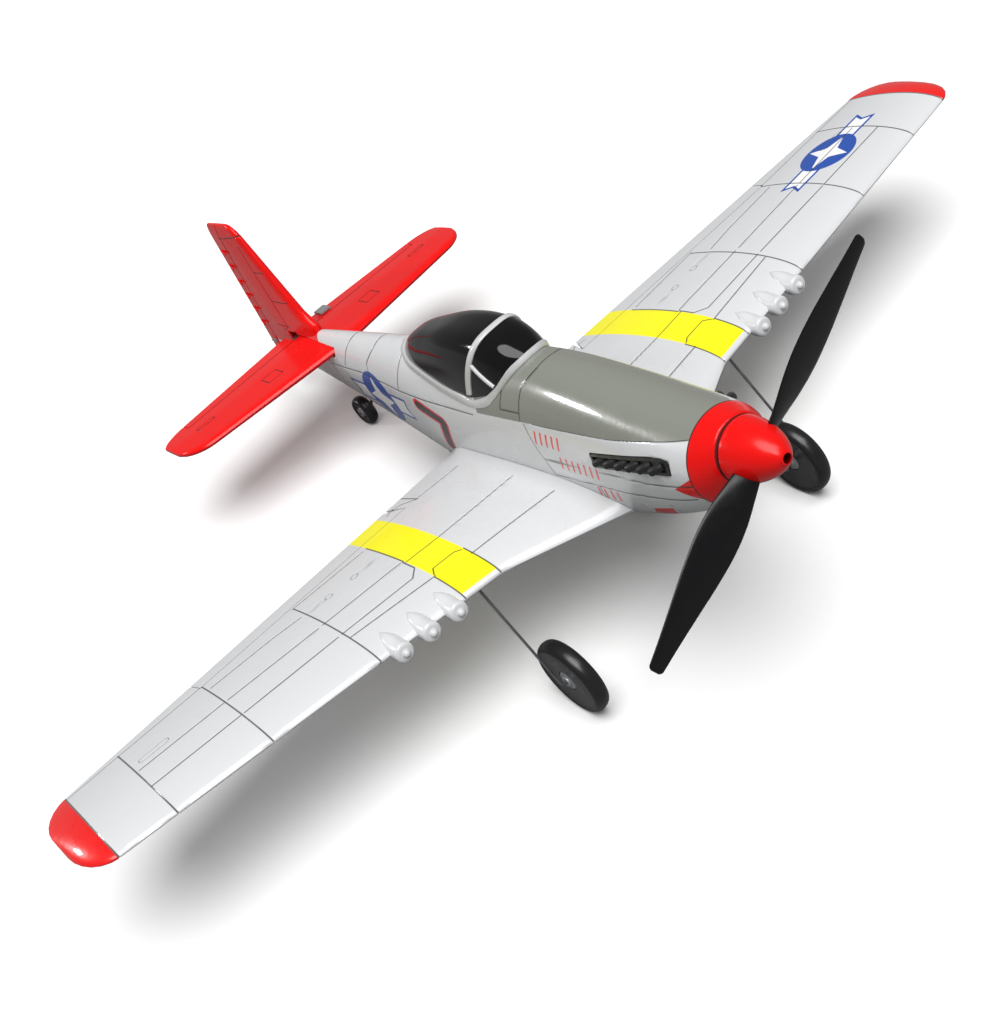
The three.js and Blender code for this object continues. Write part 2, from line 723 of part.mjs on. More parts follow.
function gearSolid(teeth, y, z, turn) {
  const pitchRadius = (GEAR_MODULE * teeth) / 2;
  const outline = Array.from({ length: teeth }, (_, k) =>
    TOOTH.map(([share, step]) => {
      const angle = (2 * Math.PI * (k + share)) / teeth + turn;
      const radius = pitchRadius + GEAR_MODULE * step;
      return new THREE.Vector2(radius * Math.sin(angle), radius * Math.cos(angle));
    }),
  );
  const shape = new THREE.Shape(outline.flat());
  const geometry = new THREE.ExtrudeGeometry(shape, { depth: GEAR_WIDTH, bevelEnabled: false });
  return solidOf(geometry.rotateX(Math.PI / 2).translate(0, y + GEAR_WIDTH / 2, z));
}

const BEARING_RADIUS = 2;

// A plastic frame: two cross plates on either side of the gears, tied by two side bars.
function buildGearboxFrame() {
  const plates = joined([
    box([-11.9, 27.2, -16.2], [11.9, 28.6, 4.2]),
    box([-11.9, 33, -17], [11.9, 35, 4.2]),
    box([-11.9, 28, -14], [-10.7, 34, 3]),
    box([10.7, 28, -14], [11.9, 34, 3]),
    box([-6.2, 34, -17], [6.2, 42, -5]),
  ]);
  const holes = joined([
    rod(V(0, 20, 0), V(0, 30, 0), BEARING_RADIUS + 0.1, 16),
    rod(V(0, 30, 0), V(0, 50, 0), SHAFT_RADIUS + 0.1, 16),
    rod(V(0, 32, MOTOR_Z), V(0, 50, MOTOR_Z), MOTOR_RADIUS + GAP, 20),
    rod(V(0, 32, MOTOR_Z), V(0, 20, MOTOR_Z), 2, 12),
  ]);
  const trim = fuselageSolid(HULL_FRONT, 60, -WALL - 0.3, 16);
  return plates.subtract(holes).intersect(trim);
}

function buildBearing() {
  const bore = SHAFT_RADIUS + BORE_PLAY;
  const profile = [
    [26.8, bore],
    [26.8, BEARING_RADIUS],
    [28.8, BEARING_RADIUS],
    [28.8, bore],
  ];
  return turned(profile, "y", V(0, 0, 0), 16);
}

// ---------------------------------------------------------------- control runs
const ELEVATOR_ROD = [V(6.6, 164, 5), V(12.3, 285.5, -1)];
const RUDDER_ROD = [V(1.9, 192, -2), V(7.6, 313.6, 0.4)];
const PUSHROD_RADIUS = 0.5;
const RUDDER_HORN_Z = 1.9;

const pushrod = ([from, to]) => rod(from, to, PUSHROD_RADIUS, 8);

const rudderHorn = (grow) =>
  box(
    [-1.6 - grow, 311.6 - grow, RUDDER_HORN_Z - grow],
    [8.6 + grow, 315.6 + grow, RUDDER_HORN_Z + 1 + grow],
  );

const ELEVATOR_SERVO_AXIS = V(4.5, 164, -3.5);
const RUDDER_SERVO_AXIS = V(-0.3, 192, -10.5);
const SERVO = { ahead: 3.5, behind: 11, half: 4.6, depth: 6, boss: 1.8 };
const ARM_REACH = 9.5;

// A servo: its case with the output boss towards its arm.
function buildServo(axis) {
  const body = box(
    [axis.x - SERVO.depth, axis.y - SERVO.ahead, axis.z - SERVO.half],
    [axis.x - 1, axis.y + SERVO.behind, axis.z + SERVO.half],
  );
  return body.add(rod(axis.clone().add(V(-1.4, 0, 0)), axis, SERVO.boss, 12));
}

// An arm that stands up from a servo output whose axis runs along X.
function buildServoArm(axis) {
  const from = axis.x + GAP;
  const plate = box([from, axis.y - 1.1, axis.z], [from + 1, axis.y + 1.1, axis.z + ARM_REACH]);
  return plate.add(rod(V(from, axis.y, axis.z), V(from + 1, axis.y, axis.z), 2, 12));
}

const AILERON_SERVO_AXIS = V(0, 147, -15.6);
const LINK_X = 6.2;

function buildAileronServo() {
  const { y, z } = AILERON_SERVO_AXIS;
  const body = box([-4, y - 10, z - 14], [4, y + 4, z - 1.4]);
  return body.add(rod(V(0, y, z - 1.6), V(0, y, z), SERVO.boss, 12));
}

function buildAileronArm() {
  const { y, z } = AILERON_SERVO_AXIS;
  const plate = box([-LINK_X - 1, y - 1, z + GAP], [LINK_X + 1, y + 1, z + 1.3]);
  return plate.add(rod(V(0, y, z + GAP), V(0, y, z + 1.3), 2.2, 12));
}

function buildAileronLink(side) {
  const { y, z } = AILERON_SERVO_AXIS;
  const crank = torqueRodLine(side)(LINK_X);
  const from = V(side * LINK_X, y - 1, z + 2.1);
  return rod(from, V(from.x, crank.y - WIRE - 0.5, from.z), 0.45, 8);
}

// ---------------------------------------------------------------- exhausts and scoop
const EXHAUST = { front: 33, rear: 69.5, z: 0.3, slope: -0.1, floor: 14 };

function exhaustBox(side, inner, outer, grow) {
  const length = EXHAUST.rear - EXHAUST.front + 2 * grow;
  const geometry = new THREE.BoxGeometry(outer - inner, length, 5 + 2 * grow);
  geometry.rotateX(Math.atan(EXHAUST.slope));
  const middle = (EXHAUST.front + EXHAUST.rear) / 2;
  return solidOf(geometry.translate((side * (inner + outer)) / 2, middle, EXHAUST.z));
}

const exhaustPocket = (side) => exhaustBox(side, EXHAUST.floor, 20, GAP);

function buildExhaust(side) {
  const tray = exhaustBox(side, EXHAUST.floor + GAP, EXHAUST.floor + 1, 0);
  const stubs = Array.from({ length: 6 }, (_, i) => {
    const y = EXHAUST.front + 4 + (i * (EXHAUST.rear - EXHAUST.front - 8)) / 5;
    const z = EXHAUST.z + EXHAUST.slope * (y - (EXHAUST.front + EXHAUST.rear) / 2);
    return rod(V(side * 14.9, y - 0.6, z + 0.2), V(side * 17, y + 1.2, z - 0.6), 1.4, 6);
  });
  return tray.add(joined(stubs));
}

// The radiator scoop under the wing, with a shallow mouth and a flat keel.
const SCOOP = { front: 140, rear: 196, keel: -43 };

function buildScoop() {
  const ring = (y, half, keel, roof) => [
    V(-half, y, roof),
    V(half, y, roof),
    V(half, y, keel + 3),
    V(half - 3, y, keel),
    V(3 - half, y, keel),
    V(-half, y, keel + 3),
  ];
  const body = loft([
    ring(SCOOP.front, 8.4, SCOOP.keel + 1.5, -30),
    ring(SCOOP.front + 8, 9, SCOOP.keel, -28),
    ring(SCOOP.front + 38, 8, SCOOP.keel, -24),
    ring(SCOOP.rear, 5.6, -35.5, -24),
  ]);
  const mouth = box([-6.6, SCOOP.front - 2, SCOOP.keel + 2.6], [6.6, SCOOP.front + 5, -30]);
  return body.subtract(fuselageSkin).subtract(mouth);
}

// ---------------------------------------------------------------- assembly: airframe
add("fuselage_hull", "foam", buildHull());
const ringRear = HULL_FRONT - GAP;
const ringSolid = loft([RING_FRONT, 20, 22, 24, ringRear].map((y) => fuselageRing(y)));
const ringBore = rod(V(0, RING_FRONT - 5, 0), V(0, ringRear + 5, 0), 6.5, 20);
add("nose_ring", "red", ringSolid.subtract(ringBore));
add("radiator_scoop", "foam", buildScoop());
add("gearbox_frame", "black", buildGearboxFrame());
add("shaft_bearing", "steel", buildBearing());
add("motor_can", "steel", rod(V(0, 35.6, MOTOR_Z), V(0, 55, MOTOR_Z), MOTOR_RADIUS, 20));
for (const [name, side] of SIDES) {
  add(`exhaust_${name}`, "black", buildExhaust(side));
  add(`wing_${name}`, "foam", buildWing(side));
  add(`guns_${name}`, "foam", guns(side, 0));
  add(`gear_leg_${name}`, "steel", buildLeg(side));
  add(`gear_block_${name}`, "whitePlastic", buildGearBlock(side));
}
const sparEnd = (side) => V(side * SPAR.half, SPAR.y, SPAR.z);
add("wing_spar", "carbon", rod(sparEnd(-1), sparEnd(1), SPAR.radius));
add("stabilizer", "red", buildStabilizer());
add("fin", "red", buildFin());
add("tail_leg", "steel", buildTailLeg());

add("battery_tray", "black", box([-10, 63, -17.2], [10, 114, -16]));
add("battery", "battery", box([-9, 66, -15.7], [9, 110, -8]));
const leadPath = [V(4, 110.4, -11.5), V(4, 114, -11.5), V(4, 116, -8), V(4, 121, -8)];
add("battery_lead", "black", wire(leadPath, 0.9, 1));
add("receiver_board", "board", box([-8, 116, -14.2], [8, 134, -11]));
add("aileron_servo", "black", buildAileronServo());
add("elevator_servo", "black", buildServo(ELEVATOR_SERVO_AXIS));
add("rudder_servo", "black", buildServo(RUDDER_SERVO_AXIS));
const magnet = (z) => rod(V(0, 58.5, z), V(0, 58.5, z + 1.5), 2, 16);
add("hull_magnet", "steel", magnet(4.3));

// ---------------------------------------------------------------- assembly: hatch with canopy
add("top_cowl_hatch", "cowlGrey", buildHatch());
add("canopy", "glossBlack", canopyShell());
add("canopy_frame", "silver", canopyBow());
add("hatch_magnet", "steel", magnet(6.2));

// ---------------------------------------------------------------- assembly: power train
const propPivot = V(0, PROP_Y, 0);
add("spinner", "red", buildSpinner(), propPivot);
add("propeller", "black", buildPropeller(), propPivot);
add("prop_shaft", "steel", rod(V(0, 7, 0), V(0, 36.5, 0), SHAFT_RADIUS, 12), propPivot);
const spurBore = rod(V(0, 20, 0), V(0, 40, 0), SHAFT_RADIUS + BORE_PLAY, 12);
const spurTeeth = gearSolid(SPUR_TEETH, GEAR_Y, 0, 0);
add("spur_gear", "whitePlastic", spurTeeth.subtract(spurBore), propPivot);
const pinionPivot = V(0, GEAR_Y, MOTOR_Z);
const motorShaft = rod(V(0, 29.2, MOTOR_Z), V(0, 35.3, MOTOR_Z), 0.5, 8);
const pinionTeeth = gearSolid(PINION_TEETH, GEAR_Y, MOTOR_Z, Math.PI / PINION_TEETH);
add("pinion", "steel", pinionTeeth.add(motorShaft), pinionPivot);

// ---------------------------------------------------------------- assembly: wheels
for (const [name, side] of SIDES) {
  const centre = V(side * MAIN_WHEEL.x, MAIN_WHEEL.y, MAIN_WHEEL.z);
  add(`tyre_${name}`, "rubber", tyre(MAIN_WHEEL, 24)(centre), centre);
  add(`hub_${name}`, "greyPlastic", hub(MAIN_WHEEL, 0.9)(centre), centre);
}
const tailAxle = V(0, TAIL_WHEEL.y, TAIL_WHEEL.z);
add("tail_tyre", "rubber", tyre(TAIL_WHEEL, 20)(tailAxle), tailAxle);
add("tail_hub", "greyPlastic", hub(TAIL_WHEEL, 0.9)(tailAxle), tailAxle);

// ---------------------------------------------------------------- assembly: control surfaces
for (const [name, side] of SIDES) {
  const pivot = aileronHinge(side, AILERON.inboard);
  add(`aileron_${name}`, "foam", wingForm(side).intersect(aileronPrism(side)), pivot);
  add(`torque_rod_${name}`, "steel", buildTorqueRod(side), pivot);
  add(`aileron_link_${name}`, "steel", buildAileronLink(side));
}
add("aileron_servo_arm", "whitePlastic", buildAileronArm(), AILERON_SERVO_AXIS);

const elevatorPivot = elevatorHinge(1, 0);
add("elevator_left", "red", buildElevator(1), elevatorPivot);
add("elevator_right", "red", buildElevator(-1), elevatorPivot);
add("elevator_joiner", "steel", rod(JOINER[0], JOINER[1], WIRE, 8), elevatorPivot);
add("elevator_horn", "greyPlastic", elevatorHornForm(0), elevatorPivot);
add("elevator_pushrod", "steel", pushrod(ELEVATOR_ROD), ELEVATOR_ROD[0]);
add("elevator_servo_arm", "whitePlastic", buildServoArm(ELEVATOR_SERVO_AXIS), ELEVATOR_SERVO_AXIS);

add("rudder", "red", buildRudder().subtract(rudderHorn(0.2)), RUDDER_HINGE[0]);
add("rudder_horn", "greyPlastic", rudderHorn(0), RUDDER_HINGE[0]);
add("rudder_pushrod", "steel", pushrod(RUDDER_ROD), RUDDER_ROD[0]);
add("rudder_servo_arm", "whitePlastic", buildServoArm(RUDDER_SERVO_AXIS), RUDDER_SERVO_AXIS);

// ---------------------------------------------------------------- standing on the wheels
// The floor touches the main wheels and the tail wheel, which sets the nose-up tilt.
function noseUpTilt() {
  const aft = TAIL_WHEEL.y - MAIN_WHEEL.y;
  const up = TAIL_WHEEL.z - MAIN_WHEEL.z;
  const smaller = MAIN_WHEEL.radius - TAIL_WHEEL.radius;
  return Math.atan2(up, aft) + Math.asin(smaller / Math.hypot(aft, up));
}

datum.rotation.x = -noseUpTilt();
airplane.updateMatrixWorld(true);
const extent = new THREE.Box3().setFromObject(airplane, true);
datum.position.set(0, -(extent.min.y + extent.max.y) / 2, -extent.min.z);

export default airplane;
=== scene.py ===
"""The looks of a small radio-controlled foam warbird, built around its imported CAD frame.

Shapes are laid out in the flying datum of the CAD: millimetres, origin at the spinner tip,
+X to port, +Y aft, +Z up, thrust line along Y. Each finished piece is turned into the frame.
"""
import json
import math

import bpy
import numpy as np
from mathutils import Matrix, Vector


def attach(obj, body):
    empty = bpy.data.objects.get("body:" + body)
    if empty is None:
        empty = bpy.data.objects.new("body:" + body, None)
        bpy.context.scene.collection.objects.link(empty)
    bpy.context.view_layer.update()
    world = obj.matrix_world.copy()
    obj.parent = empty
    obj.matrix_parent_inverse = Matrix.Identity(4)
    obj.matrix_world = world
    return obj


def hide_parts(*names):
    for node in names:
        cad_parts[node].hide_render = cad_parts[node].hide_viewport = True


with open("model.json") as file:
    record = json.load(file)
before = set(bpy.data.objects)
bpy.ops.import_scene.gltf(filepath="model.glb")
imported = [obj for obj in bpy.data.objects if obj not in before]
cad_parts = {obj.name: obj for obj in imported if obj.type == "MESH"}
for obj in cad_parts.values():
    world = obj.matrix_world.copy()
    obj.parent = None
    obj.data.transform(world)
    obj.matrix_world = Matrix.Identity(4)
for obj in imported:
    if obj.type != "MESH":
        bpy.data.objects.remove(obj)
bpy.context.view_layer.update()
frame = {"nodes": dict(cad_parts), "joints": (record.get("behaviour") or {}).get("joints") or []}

TAU = 2 * math.pi

# ------------------------------------------------------------------ the flying datum
MM = 0.001
PROP_Y = 11.2  # the propeller's plane, behind the spinner tip
SIDES = (("left", 1), ("right", -1))
JOINTS = {joint["name"]: joint for joint in frame["joints"]}
AFT = Vector(JOINTS["propeller_spin"]["axis"])
PORT = Vector((1, 0, 0))
UP = PORT.cross(AFT)
TIP = Vector(JOINTS["propeller_spin"]["pos_m"]) - AFT * PROP_Y * MM
DATUM = Matrix.Translation(TIP) @ Matrix((PORT, AFT, UP)).transposed().to_4x4() @ Matrix.Scale(MM, 4)


# ------------------------------------------------------------------ camera, light and floor
def add_camera():
    """Ahead of the starboard wing, looking down at the nose."""
    place = Vector((-190.757, -299.845, 220.907))
    right = Vector((0.69859, -0.53924, -0.47031))
    up = Vector((0.64429, 0.18817, 0.74127))
    back = right.cross(up)
    turn = Matrix((right, up, back)).transposed().to_4x4()
    data = bpy.data.cameras.new("camera")
    data.sensor_fit = "HORIZONTAL"
    data.sensor_width = 36
    data.lens = 56.575
    data.clip_start = 0.01
    camera = bpy.data.objects.new("camera", data)
    bpy.context.scene.collection.objects.link(camera)
    spin = Matrix((PORT, AFT, UP)).transposed().to_4x4()
    camera.matrix_world = Matrix.Translation(DATUM @ place) @ spin @ turn
    bpy.context.scene.camera = camera


def add_lamp(name, data, direction):
    lamp = bpy.data.objects.new(name, data)
    bpy.context.scene.collection.objects.link(lamp)
    lamp.rotation_euler = Vector(direction).to_track_quat("-Z", "Y").to_euler()
    return lamp


def add_area(name, place, size, power):
    """A round soft lamp, in metres, that is turned to the model."""
    data = bpy.data.lights.new(name, "AREA")
    data.shape = "DISK"
    data.size = size
    data.energy = power
    add_lamp(name, data, Vector((0, 0, 0.05)) - Vector(place)).location = place


def add_stage():
    scene = bpy.context.scene
    scene.view_settings.view_transform = "Standard"
    world = bpy.data.worlds.new("studio")
    world.use_nodes = True
    world.node_tree.nodes["Background"].inputs[0].default_value = (1, 1, 1, 1)
    world.node_tree.nodes["Background"].inputs[1].default_value = 0.22
    scene.world = world
    sun = bpy.data.lights.new("key", "SUN")
    sun.energy = 3.1
    sun.angle = math.radians(45)
    add_lamp("key", sun, (0.10, 0.30, -1))
    add_area("front", (-0.29, -0.95, 1.03), 0.25, 1.2)
    add_area("rim", (0.49, -0.55, 1.03), 0.3, 0.9)
    add_area("shoulder", (-0.72, 1.03, 0.53), 0.2, 3.2)
    size = 40
    mesh = bpy.data.meshes.new("floor")
    corners = [(-size, -size, 0), (size, -size, 0), (size, size, 0), (-size, size, 0)]
    mesh.from_pydata(corners, [], [(0, 1, 2, 3)])
    floor = bpy.data.objects.new("floor", mesh)
    scene.collection.objects.link(floor)
    floor.data.materials.append(floor_material())


# ------------------------------------------------------------------ materials
def new_material(name, roughness, metallic=0.0, coat=0.0, shine=0.5):
    """A new material and its shader."""
    material = bpy.data.materials.new(name)
    material.use_nodes = True
    shader = material.node_tree.nodes["Principled BSDF"]
    shader.inputs["Roughness"].default_value = roughness
    shader.inputs["Metallic"].default_value = metallic
    shader.inputs["Coat Weight"].default_value = coat
    shader.inputs["Coat Roughness"].default_value = 0.06
    shader.inputs["Specular IOR Level"].default_value = shine
    return material, shader


def node(material, kind, **values):
    made = material.node_tree.nodes.new(kind)
    for key, value in values.items():
        setattr(made, key, value)
    return made


def link(material, out, into):
    material.node_tree.links.new(out, into)


def pattern(material, kind, scale):
    """A texture node laid out in the object's own metres."""
    place = node(material, "ShaderNodeTexCoord")
    texture = node(material, kind)
    texture.inputs["Scale"].default_value = scale
    link(material, place.outputs["Object"], texture.inputs["Vector"])
    return texture


def noise(material, scale, detail=3.0):
    texture = pattern(material, "ShaderNodeTexNoise", scale)
    texture.inputs["Detail"].default_value = detail
    return texture.outputs["Fac"]


def mapped(material, value, low, high, to_low, to_high):
    ramp = node(material, "ShaderNodeMapRange", clamp=True)
    for key, number in (("From Min", low), ("From Max", high), ("To Min", to_low), ("To Max", to_high)):
        ramp.inputs[key].default_value = number
    link(material, value, ramp.inputs["Value"])
    return ramp.outputs["Result"]


def mixed(material, factor, first, second):
    """Mixes two colours. Each is a colour or the output of a node."""
    mix = node(material, "ShaderNodeMix", data_type="RGBA")
    link(material, factor, mix.inputs["Factor"])
    for socket, colour in ((mix.inputs["A"], first), (mix.inputs["B"], second)):
        if isinstance(colour, tuple):
            socket.default_value = (*colour, 1)
        else:
            link(material, colour, socket)
    return mix.outputs["Result"]


def attribute(material, name):
    return node(material, "ShaderNodeAttribute", attribute_name=name).outputs["Fac"]


def bump(material, height, strength, distance, after=None):
    made = node(material, "ShaderNodeBump")
    made.inputs["Strength"].default_value = strength
    made.inputs["Distance"].default_value = distance
    link(material, height, made.inputs["Height"])
    if after:
        link(material, after, made.inputs["Normal"])
    return made.outputs["Normal"]


def painted_foam(name, colour, roughness, coat, mottle, marks=(), shine=0.5, relief=1.0):
    """Paint on moulded foam, with the faint cells of its beads. Each mark is (attribute, colour):
    the stored distance in millimetres is positive inside the mark."""
    material, shader = new_material(name, roughness, coat=coat, shine=shine)
    cloud = mapped(material, noise(material, 55, 6), 0.35, 0.65, 1 - mottle, 1.0)
    pale = mixed(material, cloud, tuple(c * (1 - mottle) for c in colour), colour)
    for mark, mark_colour in marks:
        inside = mapped(material, attribute(material, mark), 0.0, 0.08, 0, 1)
        pale = mixed(material, inside, pale, mark_colour)
    # Painted shade: panel lines and seams are darkened by how deep in their groove each point lies.
    painted_groove_shade = mapped(material, attribute(material, "groove"), 0.12, 0.6, 0, 0.88)
    dark = mixed(material, painted_groove_shade, pale, (0.02, 0.02, 0.02))
    link(material, dark, shader.inputs["Base Color"])
    rough = mapped(material, noise(material, 130, 4), 0.3, 0.7, roughness - 0.05, roughness + 0.07)
    link(material, rough, shader.inputs["Roughness"])
    beads = pattern(material, "ShaderNodeTexVoronoi", 420).outputs["Distance"]
    grain = bump(material, beads, 0.10 * relief, 0.0003)
    swell = bump(material, noise(material, 160, 3), 0.12 * relief, 0.0006, grain)
    link(material, swell, shader.inputs["Normal"])
    return material


def plain(name, colour, roughness, metallic=0.0, coat=0.0, grain=900, strength=0.08, shine=0.5, disc=None):
    """A moulded or turned material with slight mottling, a fine grain and perhaps a paler disc."""
    material, shader = new_material(name, roughness, metallic, coat, shine)
    mottled = mixed(material, noise(material, 200, 4), tuple(c * 0.88 for c in colour), colour)
    if disc:
        mottled = mixed(material, attribute(material, "disc"), mottled, disc)
    link(material, mottled, shader.inputs["Base Color"])
    rough = mapped(material, noise(material, 350, 3), 0.3, 0.7, roughness * 0.85, roughness * 1.2)
    link(material, rough, shader.inputs["Roughness"])
    link(material, bump(material, noise(material, grain, 2), strength, 0.0002), shader.inputs["Normal"])
    return material


def floor_material():
    """Pale to look at, and duller where it lights the model from below."""
    material, shader = new_material("floor", 0.9)
    pale = mixed(material, noise(material, 3), (0.93, 0.93, 0.93), (0.96, 0.96, 0.96))
    seen = node(material, "ShaderNodeLightPath").outputs["Is Camera Ray"]
    link(material, mixed(material, seen, (0.22, 0.22, 0.22), pale), shader.inputs["Base Color"])
    return material


SILVER = (0.66, 0.67, 0.68)
RED = (0.80, 0.006, 0.005)
BLUE = (0.012, 0.075, 0.40)
YELLOW = (1.0, 0.93, 0.005)
WHITE = (0.92, 0.92, 0.92)
INK = (0.015, 0.014, 0.014)
OLIVE = (0.235, 0.245, 0.21)

MARKS = (("yellow", YELLOW), ("red", RED), ("blue", BLUE), ("white", WHITE), ("ink", INK))
FINISH = {
    "silver": painted_foam("silver_paint", SILVER, 0.30, 0.35, 0.07, MARKS),
    "red": painted_foam("red_paint", RED, 0.22, 0.1, 0.03, shine=0.22, relief=0.25),
    "olive": painted_foam("olive_paint", OLIVE, 0.25, 0.45, 0.06, relief=0.5),
    "gloss_black": plain("gloss_black", (0.005, 0.005, 0.005), 0.08, shine=0.32, strength=0.01),
    "trim": plain("silver_trim", (0.62, 0.62, 0.63), 0.30, coat=0.3, strength=0.04),
    "black": plain("black_plastic", (0.012, 0.012, 0.013), 0.42),
    "prop": plain("propeller_nylon", (0.005, 0.005, 0.006), 0.3, grain=1500, strength=0.05, shine=0.3),
    "tyre": plain("tyre_foam", (0.010, 0.010, 0.011), 0.30, grain=700, strength=0.12,
                  disc=(0.035, 0.036, 0.04)),
    "hub": plain("hub_plastic", (0.34, 0.35, 0.36), 0.35, metallic=0.3),
    "wire": plain("steel_wire", (0.22, 0.22, 0.23), 0.32, metallic=0.9, grain=2500),
    "magnet": plain("nickel", (0.7, 0.7, 0.72), 0.15, metallic=1.0),
    "nylon": plain("white_nylon", (0.78, 0.77, 0.73), 0.4),
    "board": plain("solder_mask", (0.01, 0.10, 0.04), 0.35),
    "wrap": plain("battery_wrap", (0.02, 0.08, 0.33), 0.3, coat=0.5),
    "carbon": plain("carbon_rod", (0.012, 0.012, 0.013), 0.35, grain=3000),
}


# ------------------------------------------------------------------ pieces
def finish_piece(name, points, faces, finish, sharp=35):
    """A mesh object in datum millimetres with its finish. Edges over `sharp` degrees stay crisp."""
    mesh = bpy.data.meshes.new(name)
    mesh.from_pydata([tuple(p) for p in np.asarray(points, float).tolist()], [], faces)
    mesh.validate()
    made = bpy.data.objects.new(name, mesh)
    bpy.context.scene.collection.objects.link(made)
    mesh.materials.append(FINISH[finish])
    made["sharp"] = sharp
    return made


def settle(made, body, replaced=()):
    """Turns a piece into the frame and gives it its body and shading."""
    mesh = made.data
    mesh.transform(DATUM)
    mesh.shade_smooth()
    mesh.set_sharp_from_angle(angle=math.radians(made["sharp"]))
    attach(made, body)
    if replaced:
        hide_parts(*replaced)
    return made


def duplicate(made, name):
    """A second object with a mesh of its own."""
    twin = made.copy()
    twin.data = made.data.copy()
    twin.name = name
    bpy.context.scene.collection.objects.link(twin)
    return twin


def coordinates(made):
    flat = np.empty(len(made.data.vertices) * 3)
    made.data.vertices.foreach_get("co", flat)
    return flat.reshape(-1, 3)


def store(made, name, values):
    layer = made.data.attributes.new(name, "FLOAT", "POINT")
    layer.data.foreach_set("value", np.asarray(values, np.float32))


def trim(made, tool, operation="DIFFERENCE"):
    """Combines a piece with a second solid, which is used up."""
    tool.data.materials[0] = made.data.materials[0]
    modifier = made.modifiers.new("trim", "BOOLEAN")
    modifier.operation = operation
    modifier.solver = "MANIFOLD"
    modifier.object = tool
    bpy.context.view_layer.update()
    depsgraph = bpy.context.evaluated_depsgraph_get()
    result = bpy.data.meshes.new_from_object(made.evaluated_get(depsgraph), depsgraph=depsgraph)
    if not result.polygons:
        raise RuntimeError(f"nothing is left of {made.name} after {tool.name}")
    made.modifiers.clear()
    made.data = result
    bpy.data.objects.remove(tool)
    return made


def solid(points, faces):
    return finish_piece("tool", points, faces, "silver")


def trimmer(operation):
    def apply(made, *shapes):
        for shape in shapes:
            trim(made, solid(*shape), operation)
        return made
    return apply


cut, join, keep = (trimmer(kind) for kind in ("DIFFERENCE", "UNION", "INTERSECT"))


def orient(points, faces):
    """Faces turned so that the closed solid they make has its outside outside."""
    points = np.asarray(points, float)
    total = 0.0
    for face in faces:
        a = points[face[0]]
        for i in range(1, len(face) - 1):
            total += np.dot(a, np.cross(points[face[i]], points[face[i + 1]]))
    return faces if total > 0 else [tuple(reversed(face)) for face in faces]


def circle(count):
    """Angles around one turn."""
    return np.arange(count) * TAU / count


def loft(rings):
    """Points and faces of a closed solid through rings with equal counts."""
    rings = [np.asarray(ring, float) for ring in rings]
    count = len(rings[0])
    faces = [tuple(range(count)), tuple(reversed(range((len(rings) - 1) * count, len(rings) * count)))]
    for r in range(len(rings) - 1):
        for i in range(count):
            a, b = r * count + i, r * count + (i + 1) % count
            faces.append((b, a, a + count, b + count))
    points = np.concatenate(rings)
    return points, orient(points, faces)


def closed_loop(rings):
    """Points and faces of a solid ring through a closed row of equal rings."""
    total, count = len(rings), len(rings[0])
    faces = []
    for r in range(total):
        for i in range(count):
            a, b = r * count + i, r * count + (i + 1) % count
            c, d = (r + 1) % total * count + (i + 1) % count, (r + 1) % total * count + i
            faces.append((b, a, d, c))
    points = np.concatenate(rings)
    return points, orient(points, faces)


def box(low, high):
    (x0, y0, z0), (x1, y1, z1) = low, high
    ring = lambda z: [(x0, y0, z), (x1, y0, z), (x1, y1, z), (x0, y1, z)]
    return loft([ring(z0), ring(z1)])


def prism(outline, x0, x1):
    """An outline in (y, z), from x0 to x1."""
    return loft([[(x, y, z) for y, z in outline] for x in (x0, x1)])


def tube(path, radius, sides=16):
    """A round bar along a path."""
    path = np.asarray(path, float)
    tangents = np.gradient(path, axis=0)
    tangents /= np.linalg.norm(tangents, axis=1)[:, None]
    side = np.cross(tangents[0], (0.123, 0.456, 0.881))
    rings = []
    for point, tangent in zip(path, tangents):
        side = side - tangent * np.dot(side, tangent)
        side /= np.linalg.norm(side)
        other = np.cross(tangent, side)
        angles = circle(sides)
        rings.append(point + radius * (np.outer(np.cos(angles), side) + np.outer(np.sin(angles), other)))
    return loft(rings)


def round_corner(before, corner, after, reaches, count):
    """A curve in place of a corner, from and to its reach on each side."""
    start, end = (corner + (other - corner) / np.linalg.norm(other - corner) * reach
                  for other, reach in zip((before, after), reaches))
    return [(1 - t) ** 2 * start + 2 * t * (1 - t) * corner + t ** 2 * end
            for t in np.linspace(0, 1, count)]


def bent(points, radius):
    """A path through corner points, with each corner rounded."""
    points = [np.asarray(p, float) for p in points]
    path = [points[0]]
    for before, corner, after in zip(points, points[1:], points[2:]):
        path += round_corner(before, corner, after, (radius, radius), 9)
    return [*path, points[-1]]


def turned(profile, axis, centre, sides):
    """A solid of revolution about "x" or "y" through `centre`. The profile is a closed loop or an
    open line from axis to axis, as (along, radius)."""
    angles = circle(sides)
    rings = []
    for along, radius in profile:
        c, s = radius * np.cos(angles), radius * np.sin(angles)
        flat = np.full(sides, float(along))
        rings.append(np.stack((flat, c, s) if axis == "x" else (s, flat, c), 1) + np.asarray(centre, float))
    is_loop = profile[0][1] > 1e-6 and tuple(profile[0]) == tuple(profile[-1])
    return closed_loop(rings[:-1]) if is_loop else loft(rings)


def rounded(profile, radius):
    """A closed profile of (along, radius) corners with each corner rounded."""
    corners = [np.asarray(p, float) for p in profile]
    path = []
    for i, corner in enumerate(corners):
        before, after = corners[i - 1], corners[(i + 1) % len(corners)]
        reaches = [min(radius, 0.45 * np.linalg.norm(other - corner)) for other in (before, after)]
        path += [tuple(place) for place in round_corner(before, corner, after, reaches, 5)]
    return path + [path[0]]


# ------------------------------------------------------------------ fine surfaces
def flat_pair(s, t):
    """Two flat arrays of one length, from numbers or grids."""
    s, t = np.broadcast_arrays(np.asarray(s, float), np.asarray(t, float))
    return s.ravel(), t.ravel()


